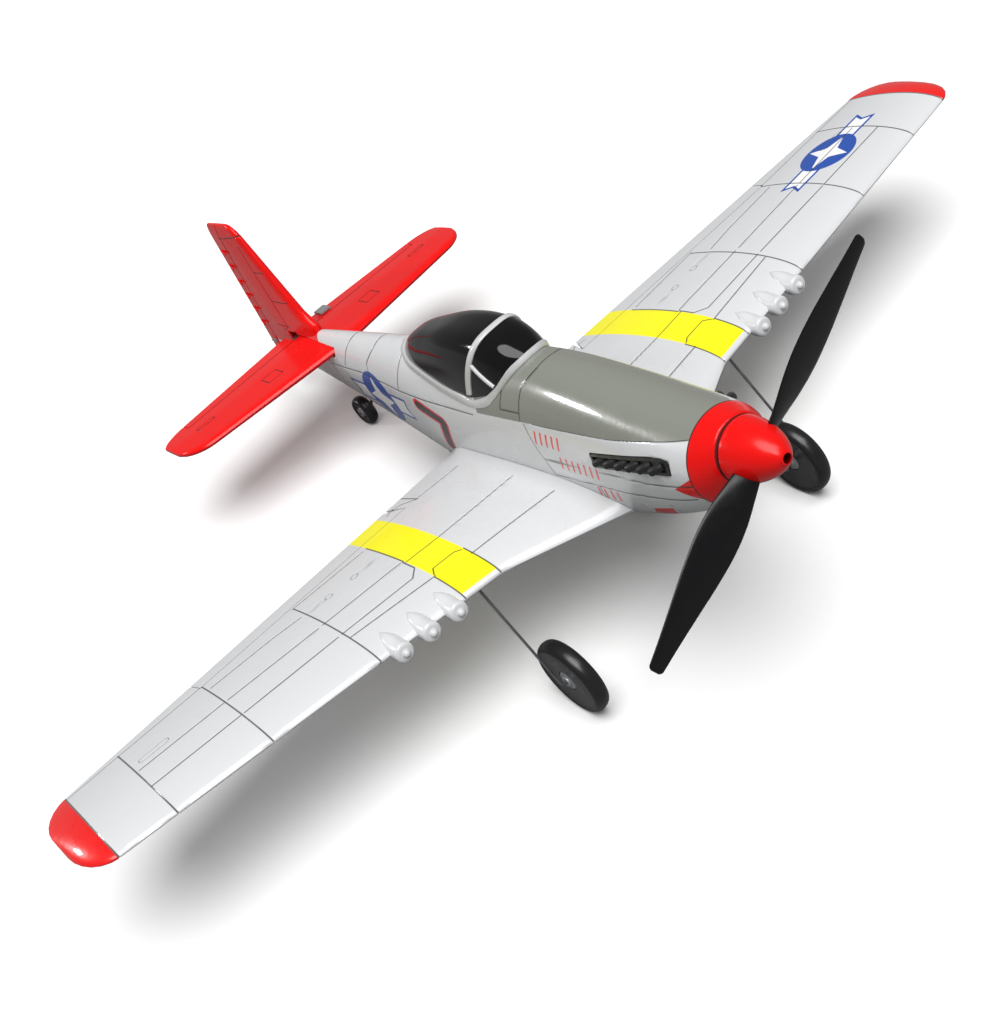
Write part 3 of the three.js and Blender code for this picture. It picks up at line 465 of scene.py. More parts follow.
def chord_and_side(t):
    """Share of the chord, and 1 above or -1 below, at a place t around a section."""
    return (1 + np.cos(TAU * t)) / 2, np.where(t % 1 <= 0.5, 1, -1)


def rounding(x):
    """From 0 to 1 along a quarter circle that ends steep."""
    return 1 - np.sqrt(1 - np.clip(x, 0, 1) ** 2)


def quilt(surface, across, around, levels, detail):
    """Faces over surface(s, t), with s and t from 0 to 1, split finer where the distance that
    detail(points) gives is small. It closes on itself in t, and flat caps close both ends of s."""
    fine = 2 ** levels
    wide, high = across * fine, around * fine
    at = lambda i, j: surface(np.asarray(i, float) / wide, np.asarray(j, float) / high)
    i, j = np.meshgrid(np.arange(0, wide, fine), np.arange(0, high, fine), indexing="ij")
    cells = np.stack((i.ravel(), j.ravel()), 1)
    leaves = []
    for level in range(levels):
        size = fine >> level
        middle = at(cells[:, 0] + size / 2, cells[:, 1] + size / 2)
        corner = at(cells[:, 0], cells[:, 1])
        reach = np.linalg.norm(middle - corner, axis=1)
        split = detail(middle) < 1.05 * reach + 0.25
        leaves += [(size, cells[~split])]
        half = size // 2
        parts = [cells[split] + (di, dj) for di in (0, half) for dj in (0, half)]
        cells = np.concatenate(parts)
    leaves.append((1, cells))
    used = np.zeros((wide + 1, high), bool)
    for size, group in leaves:
        for di in (0, size):
            for dj in (0, size):
                used[group[:, 0] + di, (group[:, 1] + dj) % high] = True
    number = np.full(used.shape, -1)
    number[used] = np.arange(used.sum())
    where = np.argwhere(used)
    points = at(where[:, 0], where[:, 1])
    faces = []
    for size, group in leaves:
        for a, b in group.tolist():
            steps = range(0, size)
            loop = [(a + k, b) for k in steps] + [(a + size, b + k) for k in steps]
            loop += [(a + size - k, b + size) for k in steps] + [(a, b + size - k) for k in steps]
            marks = [number[p, q % high] for p, q in loop]
            faces.append(tuple(int(m) for m in marks if m >= 0))
    faces.append(tuple(int(m) for m in number[0][number[0] >= 0]))
    faces.append(tuple(int(m) for m in reversed(number[-1][number[-1] >= 0])))
    step = 0.25
    after, before = (at(np.clip(where[:, 0] + k, 0, wide), where[:, 1]) for k in (step, -step))
    down = after - before
    over = at(where[:, 0], where[:, 1] + step) - at(where[:, 0], where[:, 1] - step)
    normals = np.cross(down, over)
    normals /= np.maximum(np.linalg.norm(normals, axis=1), 1e-9)[:, None]
    return points, orient(points, faces), normals


def segments(*lines):
    """Each line is a list of corner points: gives all their straight pieces as one array."""
    return np.array([(a, b) for line in lines for a, b in zip(line, line[1:])], float)


def distance(flat, pieces):
    """Distance of 2-D points to the nearest of the straight pieces."""
    nearest = np.full(len(flat), 1e3)
    for a, b in pieces:
        along = b - a
        t = np.clip((flat - a) @ along / max(along @ along, 1e-12), 0, 1)
        nearest = np.minimum(nearest, np.linalg.norm(flat - a - t[:, None] * along, axis=1))
    return nearest


GROOVE_HALF = 0.38
GROOVE_DEPTH = 0.2


def groove(away):
    """How deep in a panel line a point is, from 0 outside it to 1 on its middle."""
    return np.clip(1 - away / GROOVE_HALF, 0, 1)


def polygon(flat, corners):
    """Signed distance to a polygon in 2-D, positive inside."""
    corners = np.asarray(corners, float)
    ring = np.stack((corners, np.roll(corners, -1, 0)), 1)
    inside = np.zeros(len(flat), bool)
    for (x0, y0), (x1, y1) in ring:
        crosses = (flat[:, 1] < y0) != (flat[:, 1] < y1)
        slope = (x1 - x0) / (y1 - y0 if y1 != y0 else 1e-9)
        inside ^= crosses & (flat[:, 0] < x0 + (flat[:, 1] - y0) * slope)
    return np.where(inside, 1, -1) * distance(flat, ring)


# ------------------------------------------------------------------ fuselage
# Stations: y, top, bottom, half width, height of the widest point, roundness above and below.
FUSELAGE = np.array([
    [17.5, 9.8, -9.4, 9.8, 0.4, 2, 2],
    [26, 11.2, -17.6, 14.5, -3, 2, 2],
    [45, 13.7, -25.5, 16, -4.5, 2.15, 2.2],
    [70, 17.4, -31.5, 16.4, -5.5, 2.25, 2.4],
    [95, 20, -35.5, 16.4, -6, 2.25, 2.5],
    [125, 20, -37.5, 16, -6, 2.1, 2.5],
    [155, 18.2, -38, 15, -5, 1.9, 2.4],
    [180, 17.2, -36.5, 13.2, -3, 1.9, 2.3],
    [205, 15.8, -31.5, 10.8, -1, 1.9, 2.1],
    [235, 14, -22.5, 8.2, 0.5, 1.9, 2],
    [265, 12, -14, 5.4, 1, 2, 2],
    [290, 10, -8.5, 2.8, 1, 2, 2],
    [308, 9, -5, 1.5, 1, 2, 2],
])
HULL_FRONT, HULL_REAR, BAY_REAR = 26.4, 308, 262
RING_FRONT, RING_LIP = 18, 0.9
WALL = 2.4


def along_table(table, y):
    """Smooth interpolation of a table's columns over its first column, at each y."""
    y = np.atleast_1d(np.asarray(y, float))
    last = len(table) - 1
    i = np.clip(np.searchsorted(table[:, 0], y, side="right") - 1, 0, last - 1)
    span = table[i + 1, 0] - table[i, 0]
    s = ((y - table[i, 0]) / span)[:, None]

    def slope(k):
        before, after = table[np.maximum(k - 1, 0)], table[np.minimum(k + 1, last)]
        return (after - before) / (after[:, :1] - before[:, :1]) * span[:, None]

    return ((2 * s ** 3 - 3 * s ** 2 + 1) * table[i] + (s ** 3 - 2 * s ** 2 + s) * slope(i)
            + (3 * s ** 2 - 2 * s ** 3) * table[i + 1] + (s ** 3 - s ** 2) * slope(i + 1))


def fuselage_points(y, angle, grow=0.0):
    """Points of the fuselage skin. The angle runs from the top over the port side."""
    y, angle = flat_pair(y, angle)
    _, top, bottom, half, widest, upper, lower = along_table(FUSELAGE, y).T
    c, s = np.cos(angle), np.sin(angle)
    power = 2 / np.where(c > 0, upper, lower)
    reach = np.where(c > 0, top - widest, widest - bottom) + grow
    x = np.sign(s) * (half + grow) * np.abs(s) ** power
    return np.stack((x, y, widest + np.sign(c) * reach * np.abs(c) ** power), 1)


def fuselage_solid(front, rear, grow):
    return loft([fuselage_points(y, circle(72), grow) for y in np.linspace(front, rear, 60)])


def whole_hull(grow):
    """A solid to cut a neighbour to the hull's skin."""
    return fuselage_solid(HULL_FRONT - 1, HULL_REAR + 1, grow)


# ------------------------------------------------------------------ painted and scribed skins
def near_features(features):
    """Distance to the nearest panel line or paint edge."""
    def detail(points):
        away, marks = features(points)
        return np.min([away, *(np.abs(edge) for edge in marks.values())], axis=0)

    return detail


def skin(name, surface, across, around, levels, features, finish):
    """A closed surface with its panel lines pressed in."""
    points, faces, normals = quilt(surface, across, around, levels, near_features(features))
    outward = np.sign(np.sum(normals * (points - points.mean(0))))
    away, _ = features(points)
    points = points - outward * normals * (GROOVE_DEPTH * groove(away))[:, None]
    return finish_piece(name, points, faces, finish)


def paint(made, features):
    """Stores where the panel lines are, for painted shade in their grooves, and where the painted marks are,
    for the material to read.
    """
    away, marks = features(coordinates(made))
    store(made, "groove", groove(away))
    for key, edge in marks.items():
        store(made, key, edge)


def insignia(flat, centre, radius, reach, half, border):
    """Where the blue is, and where the white of its four-pointed star and swallow-tailed bars is."""
    q = flat - np.asarray(centre, float)
    disc = radius - np.hypot(q[:, 0], q[:, 1])
    notch = reach - 2.4
    bar = polygon(q, [(-reach, -half), (reach, -half), (notch, 0),
                      (reach, half), (-reach, half), (-notch, 0)])
    turns = circle(8)
    spokes = np.where(np.arange(8) % 2 == 0, 0.88, 0.34) * radius
    star = polygon(q, np.stack((spokes * np.cos(turns), spokes * np.sin(turns)), 1))
    return np.maximum(disc, bar), np.maximum(star, np.minimum(bar - border, -disc))


# ------------------------------------------------------------------ fuselage hull
HULL_LINES = segments(
    [(251.5, 2.6), (221.7, 4.0), (189.9, 2.4), (169.2, 2.4), (151.7, 2.9), (134.6, 3.3)],
    [(102.1, 5.4), (99.3, -7.4), (98.1, -13.7)],
    [(99.3, -7.4), (73.1, -6.1), (46, -5.9), (26.3, -3.8)],
    [(98.1, -13.7), (77.3, -12.9), (62.3, -13), (41.1, -11.4), (28.6, -9.4)],
    [(74.7, -13.3), (77.9, -24.7)],
    [(59.4, -18.1), (58.9, -20.1)],
    [(189.9, 2.4), (187.3, 7.9), (184.5, 14.4), (183.6, 18)],
    [(213.8, 3.2), (213.8, 8.4), (208.4, 13.6), (206, 17)],
    [(235.5, 4.5), (230.6, 12.5), (227.5, 16)],
    [(251.5, 2.6), (247, -18.5)],
)
CHEVRON = segments([(177, -0.9), (161.5, -4.8), (171, -19)])
DASHES = segments(*(
    [(y + 1.8 * lean, z), (y, z + 4.4)]
    for y0, z0, count, lean in ((85, -1.2, 5, 1), (70.5, -9.6, 7, 1), (67, -18.6, 4, 1))
    for y, z in ((y0 + 3.0 * k, z0 + 0.12 * k) for k in range(count))
))
TAIL_PAINT = [(263.8, 14), (259.1, 10.3), (250.3, 5.5), (250.5, 3.3), (312, 3.9), (312, 30), (263.8, 30)]
NOSE_TRIANGLE = [(34.5, -5.5), (25.2, -0.5), (26.1, -9.3)]
NOSE_FLAG = [(54.8, -19), (44.6, -16.8), (49.3, -23.1), (58, -23)]


HATCH_EDGE = [(HULL_FRONT - 5, 8.6), (34, 7.9), (58, 6.6), (97, 6.2)]
HATCH_REAR, HATCH_REAR_Z, HATCH_WALL = 131, 4.6, 2
SEAM = 0.14


def under_skin(points):
    """True for points of the hull's inside, which stays bare foam."""
    _, top, bottom, half, widest, upper, lower = along_table(FUSELAGE, points[:, 1]).T
    above = points[:, 2] > widest
    reach = np.where(above, top - widest, widest - bottom)
    power = np.where(above, upper, lower)
    share = (np.abs(points[:, 0]) / half) ** power + (np.abs(points[:, 2] - widest) / reach) ** power
    return share < 0.88


def hull_features(points):
    side = points[:, 1:]
    bare = under_skin(points) * 20.0
    # The hatch seam on the hull counts as a panel line, so it gets a groove darkened with painted shade.
    away = np.minimum(distance(side, HULL_LINES), distance(side, segments(HATCH_EDGE)) + 0.1) + bare
    bent_line = distance(side, CHEVRON)
    red = polygon(side, TAIL_PAINT)
    for shape in (NOSE_TRIANGLE, NOSE_FLAG):
        red = np.maximum(red, polygon(side, shape))
    red = np.maximum(red, 0.5 - distance(side, DASHES))
    red = np.maximum(red, 2.9 - bent_line)
    blue, white = insignia(side, (213.5, -6.2), 12, 25, 4.9, 1.1)
    marks = {"red": red, "ink": 1.9 - bent_line, "blue": blue, "white": white}
    return away, {key: edge - bare for key, edge in marks.items()}


def hull_surface(s, t):
    return fuselage_points(HULL_FRONT + (HULL_REAR - HULL_FRONT) * s, TAU * t)


def above_hatch_edge(shift):
    outline = [(y, z + shift) for y, z in HATCH_EDGE]
    outline += [(HATCH_REAR - shift, HATCH_REAR_Z + shift), (HATCH_REAR - shift, 60), (HULL_FRONT - 5, 60)]
    return prism(outline, -30, 30)


# Stations: y, top, half width at the deck.
CANOPY = np.array([
    [104.5, 20.9, 4], [108, 24.2, 8.4], [112, 27.4, 10.6], [118, 29.8, 12], [126, 30.7, 12.7],
    [134, 30.7, 12.9], [144, 29.8, 12.6], [155, 27.8, 11.4], [170, 24.4, 9], [180, 19.8, 6], [184, 16.6, 3],
])
CANOPY_DECK, CANOPY_WALL, CANOPY_SILL = 8, 1.3, -2
BULGE_X, BULGE_Z = 0.62, 0.66


def canopy_points(y, angle, grow):
    """Points of the canopy's arch. The angle runs from the port deck over the top."""
    y, angle = flat_pair(y, angle)
    _, top, half = along_table(CANOPY, y).T
    c, s = np.cos(angle), np.maximum(np.sin(angle), 0)
    x = np.sign(c) * (half + grow) * np.abs(c) ** BULGE_X
    return np.stack((x, y, CANOPY_DECK + (top + grow - CANOPY_DECK) * s ** BULGE_Z), 1)


def canopy_solid(grow=0.0):
    made = []
    for y in np.linspace(CANOPY[0, 0], CANOPY[-1, 0], 70):
        arch = canopy_points(y, np.linspace(0, math.pi, 64), grow)
        feet = arch[[-1, 0]]
        feet[:, 2] = CANOPY_SILL
        made.append(np.concatenate((arch, feet)))
    return loft(made)


def hull_x(y, z):
    """Half width of the hull at a height above its widest point."""
    _, top, _, half, widest, upper, _ = along_table(FUSELAGE, y)[0]
    share = min(max((z - widest) / (top - widest), 0), 1)
    return half * (1 - share ** upper) ** (1 / upper)


def hull_z(x, y):
    _, top, _, half, widest, upper, _ = along_table(FUSELAGE, y)[0]
    return widest + (top - widest) * (1 - (abs(x) / half) ** upper) ** (1 / upper)


def canopy_x(y, z):
    _, top, half = along_table(CANOPY, y)[0]
    rise = (max(z - CANOPY_DECK, 0) / (top - CANOPY_DECK)) ** (1 / BULGE_Z)
    return half * max(1 - rise ** 2, 0) ** (BULGE_X / 2)


FORMER_FRONT, FORMER_REAR = 57, 60
EXHAUST_FRONT, EXHAUST_REAR, EXHAUST_Z, EXHAUST_SLOPE, EXHAUST_FLOOR = 33, 69.5, 0.3, -0.1, 14


def exhaust_box(side, inner, outer, grow):
    """A slanted box along the exhaust row."""
    y0, y1 = EXHAUST_FRONT - grow, EXHAUST_REAR + grow
    middle, half = (EXHAUST_FRONT + EXHAUST_REAR) / 2, 2.5 + grow
    corners = [(y, EXHAUST_Z + EXHAUST_SLOPE * (y - middle) + up) for y, up in
               ((y0, -half), (y1, -half), (y1, half), (y0, half))]
    return prism(corners, *sorted((side * inner, side * outer)))


DIHEDRAL = math.tan(math.radians(4.12))
KINK_X, TIP_START, HALF_SPAN, WING_ROOT_Z = 52, 189.5, 200, -24.6
WING_INNER, TIP_ROUND = 9, 10
HINGE_SHARE, AILERON_IN, AILERON_OUT = 0.862, 44.5, 137


def wing_edges(x):
    """Leading and trailing edge of the wing, as y."""
    out = np.abs(np.asarray(x, float))
    lead = 84.9 + 0.093 * out - 0.44 * np.maximum(KINK_X - out, 0)
    trail = 175.9 - 0.145 * out
    drawn = rounding((out - TIP_START) / (HALF_SPAN - TIP_START))
    return lead + 17 * drawn, trail - 14 * drawn


def wing_points(x, u, side):
    """Points of the wing skin at a share u of the chord. Side is 1 above and -1 below."""
    lead, trail = wing_edges(x)
    chord = trail - lead
    # The thickness curve of a four-digit section.
    shape = 0.2969 * np.sqrt(u) - 0.126 * u - 0.3516 * u ** 2 + 0.2843 * u ** 3 - 0.1036 * u ** 4
    out = np.abs(x)
    near_tip = np.clip((out - (HALF_SPAN - TIP_ROUND)) / TIP_ROUND, 0, 1)
    round_tip = np.sqrt(np.clip(1.02 - near_tip ** 2.4, 0, 1))
    half = 0.5 * shape * round_tip
    fillet = np.maximum(20.5 - out, 0) / 5.5
    z = WING_ROOT_Z + 1.2 * u + DIHEDRAL * out + chord * (0.1 * u * (1 - u) + side * half) + side * 0.3 * u
    z = z + (side > 0) * 2.4 * fillet ** 2 * np.clip(10 * u * (1 - u), 0, 1)
    return np.stack((x, lead + chord * u, z), 1)


def wing_surface(side):
    def surface(s, t):
        s, t = flat_pair(s, t)
        to_tip = np.sin(math.pi / 2 * np.clip((s - 0.9) / 0.1, 0, 1))
        straight = HALF_SPAN - TIP_ROUND
        inboard = WING_INNER + (straight - WING_INNER) * s / 0.9
        out = np.where(s < 0.9, inboard, straight + TIP_ROUND * to_tip)
        return wing_points(side * out, *chord_and_side(t))

    return surface


def hinge_point(side, x):
    return wing_points(np.array([side * float(x)]), np.array([HINGE_SHARE]), np.array([1]))[0]


def along_hinge(ends, section, slants):
    """A prism along a hinge line. The section holds (aft, up) offsets from the line."""
    return loft([[(end[0] + slant * aft, end[1] + aft, end[2] + up) for aft, up in section]
                 for end, slant in zip(ends, slants)])


BEVELLED = [(0.12, 4), (45, 4), (45, -14), (7.6, -14), (0.12, 0)]
CUT_OUT = [(-0.16, 6), (50, 6), (50, -16), (-0.16, -16)]


def aileron_prism(side):
    ends = [hinge_point(side, x) for x in (AILERON_IN, AILERON_OUT)]
    return along_hinge(ends, BEVELLED, [side * 0.4, side * 0.15])


def aileron_cut_out(side):
    ends = [hinge_point(side, x) for x in (AILERON_IN - 0.4, AILERON_OUT + 0.35)]
    return along_hinge(ends, CUT_OUT, [side * 0.3, side * 0.15])


def torque_rod_line(side, x):
    a, b = hinge_point(side, AILERON_IN), hinge_point(side, AILERON_OUT)
    return a + (b - a) * (x - AILERON_IN) / (AILERON_OUT - AILERON_IN)


def torque_rod_path(side):
    """From the top of the crank, low through the wing so that its skin stays whole, to the aileron."""
    steps = ((6.2, 0, 8), (6.2, 0, 0), (10.5, 0, -2), (42.9, 0, -2), (44.6, 0.9, -1.3))
    return [torque_rod_line(side, x) + (0, aft, up) for x, aft, up in steps]


def torque_rod_tunnel(side):
    start, end = torque_rod_path(side)[2:4]
    return tube([start, end + (side * 1.15, 0, 0)], 1.6, 12)


SPAR_Y, SPAR_Z, SPAR_BORE, SPAR_HALF = 118, -21.5, 1.3, 70
ELEVATOR_ROD = [(6.6, 164, 5), (12.3, 285.5, -1)]
RUDDER_ROD = [(1.9, 192, -2), (7.6, 313.6, 0.4)]
TAIL_Z, TAIL_LEG_Y, JOINER_Y = 8, 260, 284.2


def make_hull():
    made = skin("hull", hull_surface, 90, 48, 3, hull_features, "silver")
    cut(made, fuselage_solid(HULL_FRONT - 1.2, BAY_REAR, -WALL))
    former = solid(*box((-20, FORMER_FRONT, -40), (20, FORMER_REAR, 4)))
    keep(former, fuselage_solid(HULL_FRONT, 80, -1.2))
    trim(made, former, "UNION")
    recess = keep(solid(*canopy_solid(-CANOPY_WALL - 0.1)), box((-30, 120, -10), (30, 200, 60)))
    trim(made, recess)
    cut(
        made,
        above_hatch_edge(0),
        tube([(-30, SPAR_Y, SPAR_Z), (30, SPAR_Y, SPAR_Z)], SPAR_BORE),
        tube(ELEVATOR_ROD, 1.5, 12),
        tube(RUDDER_ROD, 1.5, 12),
        box((-12, 243.1, TAIL_Z - 2), (12, 281, TAIL_Z + 2)),
        box((-12, 280, TAIL_Z - 4.6), (12, 297, TAIL_Z + 2.6)),
        *(exhaust_box(side, EXHAUST_FLOOR, 20, 0.2) for side in (1, -1)),
        *(torque_rod_tunnel(side) for side in (1, -1)),
        tube([(0, TAIL_LEG_Y, -16), (0, TAIL_LEG_Y, -5)], 0.8, 12),
    )
    paint(made, hull_features)
    settle(made, "airframe", ["fuselage_hull"])


# ------------------------------------------------------------------ hatch and canopy
HATCH_LINES = segments(
    [(96.6, 22), (97, 19.6), (101.3, 16.2), (103.3, 8.7), (114.7, 8.3), (113.1, 12.5), (111.5, 17.3),
     (108, 20)],
    [(103.3, 8.7), (103.9, 5.9), (102.3, 4)],
)


def hatch_features(points):
    side = points[:, 1:]
    trim_edge = polygon(side, [(127.3, 30), (127.3, 6.8), (133.4, 5.4), (134.6, 2), (160, 2), (160, 30)])
    return distance(side, HATCH_LINES), {"white": trim_edge}


def hatch_surface(s, t):
    return fuselage_points(HULL_FRONT + (HATCH_REAR + 9 - HULL_FRONT) * s, TAU * t)


def make_hatch():
    made = skin("top_cowl", hatch_surface, 34, 48, 3, hatch_features, "olive")
    cut(made, fuselage_solid(HULL_FRONT - 1.2, HATCH_REAR + 10, -HATCH_WALL))
    keep(made, above_hatch_edge(SEAM))
    join(made, box((-4, FORMER_FRONT, 8), (4, FORMER_REAR, 13)))
    cut(made, canopy_solid(-CANOPY_WALL - 0.1))
    paint(made, hatch_features)
    settle(made, "hatch", ["top_cowl_hatch"])


def make_canopy():
    made = finish_piece("canopy_shell", *canopy_solid(), "gloss_black", 40)
    cut(
        made,
        canopy_solid(-CANOPY_WALL),
        whole_hull(0.1),
        box((-30, 90, -9), (30, 200, 4)),
    )
    settle(made, "hatch", ["canopy"])


# The silver rim: outer edge on the hull, inner edge on the canopy, for the port side from the front.
RIM_FRONT = [((0.01, 104.2), (105.4, 21.9)), ((3.6, 104.7), (106, 21.5)), ((6.8, 106.8), (108, 20.4)),
             ((9.3, 109.6), (110.6, 18.2)), ((11.5, 113.5), (114.3, 15.3)), ((12.8, 117.4), (118.4, 13))]
RIM_SIDE = [((121.5, 8.6), (122.3, 11.1)), ((126.5, 7), (127.2, 9.6)), ((132.5, 6.2), (132.2, 8.7)),
            ((140, 6.5), (138, 9.9)), ((152, 7.9), (151, 11.6)), ((166, 10.3), (164.5, 13.7)),
            ((178.1, 12.7), (175.4, 15.2)), ((185.6, 15.6), (181.6, 16.6)), ((188.6, 16.75), (184, 17.4))]


def rim_rings():
    pairs = []
    for (x, y), (inner_y, inner_z) in RIM_FRONT:
        pairs.append(((x, y, hull_z(x, y)), (canopy_x(inner_y, inner_z), inner_y, inner_z)))
    for (y, z), (inner_y, inner_z) in RIM_SIDE:
        pairs.append(((hull_x(y, z), y, z), (canopy_x(inner_y, inner_z), inner_y, inner_z)))
    outer, inner = (smooth_path([p[k] for p in pairs], 8) for k in (0, 1))
    outer[0][0] = inner[0][0] = outer[-1][0] = inner[-1][0] = 0
    along = np.gradient((outer + inner) / 2, axis=0)
    up = np.cross(along, outer - inner)
    up /= np.linalg.norm(up, axis=1)[:, None]
    up *= np.sign(up[:, 2:3] + 0.2 * up[:, :1])
    rings = []
    for a, b, n in zip(outer, inner, up):
        rings.append([a - 0.5 * n, a + 0.12 * n, a * 0.94 + b * 0.06 + 0.3 * n, (a + b) / 2 + 0.62 * n,
                      a * 0.1 + b * 0.9 + 0.75 * n, b + 0.5 * n, b - 0.6 * n])
    port = np.asarray(rings)
    starboard = port[::-1] * (-1, 1, 1)
    return np.concatenate((port, starboard[1:-1]))


def smooth_path(points, steps):
    """A smooth curve through points, with `steps` pieces between each two."""
    points = np.asarray(points, float)
    table = np.column_stack((np.arange(len(points)), points))
    return along_table(table, np.linspace(0, len(points) - 1, (len(points) - 1) * steps + 1))[:, 1:]


BOW_LEAN, BOW_REACH = 0.7, 141


def bow_point(angle, shift, grow):
    """A point of the canopy where the leaning plane of the bow crosses it."""
    y = 130.0
    for _ in range(60):
        point = canopy_points(y, angle, grow)[0]
        y += 0.4 * (BOW_REACH - shift - BOW_LEAN * point[2] - y)
    return canopy_points(y, angle, grow)[0]


def make_canopy_frame():
    rim = finish_piece("canopy_rim", *closed_loop(rim_rings()), "trim", 50)
    settle(rim, "hatch", ["canopy_frame"])
    section = [(0, -0.3), (0, 0.45), (0.4, 0.72), (1.5, 0.85), (2.6, 0.72), (3, 0.45), (3, -0.3)]
    angles = np.linspace(0.05, math.pi - 0.05, 49)
    arch = loft([[bow_point(a, *place) for place in section] for a in angles])
    arch = finish_piece("canopy_bow", *arch, "trim", 50)
    settle(arch, "hatch")
    for name, side in SIDES:
        path = []
        for t in np.linspace(0, 1, 17):
            y, z = 123.4 - 8.2 * t, 24 - 8.6 * t
            path.append((side * (canopy_x(y, z) + 0.1), y, z))
        strut = finish_piece(f"canopy_strut_{name}", *tube(path, 0.75, 10), "trim", 50)
        settle(strut, "hatch")


# ------------------------------------------------------------------ wings
WING_LINES = segments(
    [(20, 119.9), (38.5, 120.7), (66.1, 122.4)],
    [(66.8, 124.2), (98.5, 125.2)],
    [(100.3, 125.2), (135.4, 126.8)],
    [(137, 126.9), (168.6, 127.9)],
    [(20.4, 96.2), (37.8, 99.6), (52.5, 102.3)],
    [(53, 107), (55, 108.6), (63.5, 109.1), (65.3, 106)],
    [(65.3, 105.3), (97.2, 109)],
    [(66.2, 123.6), (66.2, 116.1), (69.8, 112), (98, 113.3)],
    [(99.5, 113.3), (135.6, 114.4)],
    [(137, 114.5), (169.5, 115.8)],
    [(52.2, 107), (52.2, 89)],
    [(65.8, 105), (65.8, 90)],
    [(65.8, 151.3), (65.8, 123.7)],
    [(97.7, 150.2), (97.7, 93)],
    [(136.5, 148.4), (136.5, 97)],
    [(169.6, 148), (169.6, 100)],
    [(170, 147.5), (189, 146.8)],
    [(189.5, 101), (189.5, 150)],
    [(20.4, 157.2), (39.3, 158)],
    [(67.5, 150.7), (98.2, 150.6)],
    [(99.5, 140), (111.2, 141.5), (135.3, 142.1)],
    [(49.8, 163.8), (46, 165.9), (43.1, 163.9), (39.2, 157.2), (40.1, 169.6)],
    [(137, 148.4), (170, 147.5)],
)


def ring_line(x, y, radius):
    return [(x + radius * math.cos(a), y + radius * math.sin(a)) for a in np.linspace(0, TAU, 13)]


def slot_line(x0, x1, y, radius):
    left = [(x0 - radius * math.sin(a), y + radius * math.cos(a)) for a in np.linspace(0, math.pi, 7)]
    right = [(x1 + radius * math.sin(a), y - radius * math.cos(a)) for a in np.linspace(0, math.pi, 7)]
    return left + right + left[:1]


SMALL_LINES = segments(
    [(67.5, 138.9), (76.7, 138.9)], [(67.5, 137.7), (76.7, 137.7)], ring_line(78, 138.3, 1.4),
    [(97, 139.4), (89.8, 139.4)], [(97, 138.2), (89.8, 138.2)], ring_line(88.5, 138.8, 1.4),
    slot_line(157, 165.6, 132.6, 1.3),
)
BELOW_LINES = segments(
    [(30, 122), (168, 128)], [(66, 150), (66, 92)], [(98, 149), (98, 94)], [(136.5, 147), (136.5, 98)],
    [(169.6, 146), (169.6, 101)], [(189.5, 101), (189.5, 150)],
)


def is_above(points):
    """True on the upper skin of the wing."""
    lead, trail = wing_edges(points[:, 0])
    chord = trail - lead
    u = np.clip((points[:, 1] - lead) / chord, 0, 1)
    middle = WING_ROOT_Z + 1.2 * u + DIHEDRAL * np.abs(points[:, 0]) + chord * 0.1 * u * (1 - u)
    return points[:, 2] > middle


def wing_features(points):
    above = is_above(points)
    flat = np.stack((np.abs(points[:, 0]), points[:, 1]), 1)
    fine = np.minimum(distance(flat, WING_LINES), distance(flat, SMALL_LINES) + 0.12)
    away = np.where(above, fine, distance(flat, BELOW_LINES))
    lead, _ = wing_edges(points[:, 0])
    band = np.minimum(np.minimum(flat[:, 0] - 52.2, 65.8 - flat[:, 0]), points[:, 1] - lead - 1.2)
    blue, white = insignia(flat, (154.2, 127.7), 11, 23, 4.7, 1.1)
    hidden = np.where(above & (points[:, 0] > 0), 0, -50)
    marks = {"yellow": band, "red": flat[:, 0] - 189.7, "blue": blue + hidden, "white": white + hidden}
    return away, marks


GUN_X = (70.6, 80.9, 91.1)


def gun_place(side, x):
    return np.array((side * x, wing_edges(x)[0], WING_ROOT_Z + DIHEDRAL * x - 0.6))


LEG_X = 58.7


def gear_block(side, grow):
    z = WING_ROOT_Z + DIHEDRAL * LEG_X
    low, high = sorted((side * LEG_X - 4 - grow, side * LEG_X + 4 + grow))
    return box((low, 93.5 - grow, z - 6), (high, 103.5 + grow, z + grow))


GUN_BODY = [(0, 3.4), (2, 3.35), (4, 2.9), (6, 2), (7.6, 0.9), (8.6, 0.02)]


def gun_solid(side, x):
    """A blunt fairing with a domed nub, and a pointed tail that rises with the upper skin."""
    place = gun_place(side, x)
    dome = [(-5.2 + 1.3 * (1 - math.cos(a)), 1.3 * math.sin(a)) for a in np.linspace(0, math.pi / 2, 6)]
    dome += [(-3.7, 1.35), (-3.6, 2.0)]
    front = [(-3.6 + 1.1 * (1 - math.cos(a)), 2.05 + 1.3 * math.sin(a))
             for a in np.linspace(0.15, math.pi / 2, 8)]
    points, faces = turned([(-5.2, 0.01), *dome[1:], *front, *GUN_BODY], "y", place, 40)
    points = np.asarray(points, float)
    aft = np.clip(points[:, 1] - place[1], 0, None)
    lead, trail = wing_edges(x)
    roof = wing_points(np.full(len(points), side * x), aft / (trail - lead), 1)[:, 2]
    radius = np.interp(aft, *np.transpose(GUN_BODY))
    points[:, 2] += np.maximum(roof - 0.55 * radius - place[2], 0)
    return points, faces


def gun_bar(side, radius):
    """The bar inside the wing that holds the three fairings."""
    return tube([gun_place(side, x) + (0, 4, 0) for x in (GUN_X[0], GUN_X[2])], radius, 12)


def make_guns(name, side):
    made = finish_piece(f"gun_fairings_{name}", *gun_bar(side, 0.85), "silver", 35)
    join(made, *(gun_solid(side, x) for x in GUN_X))
    settle(made, "airframe", [f"guns_{name}"])


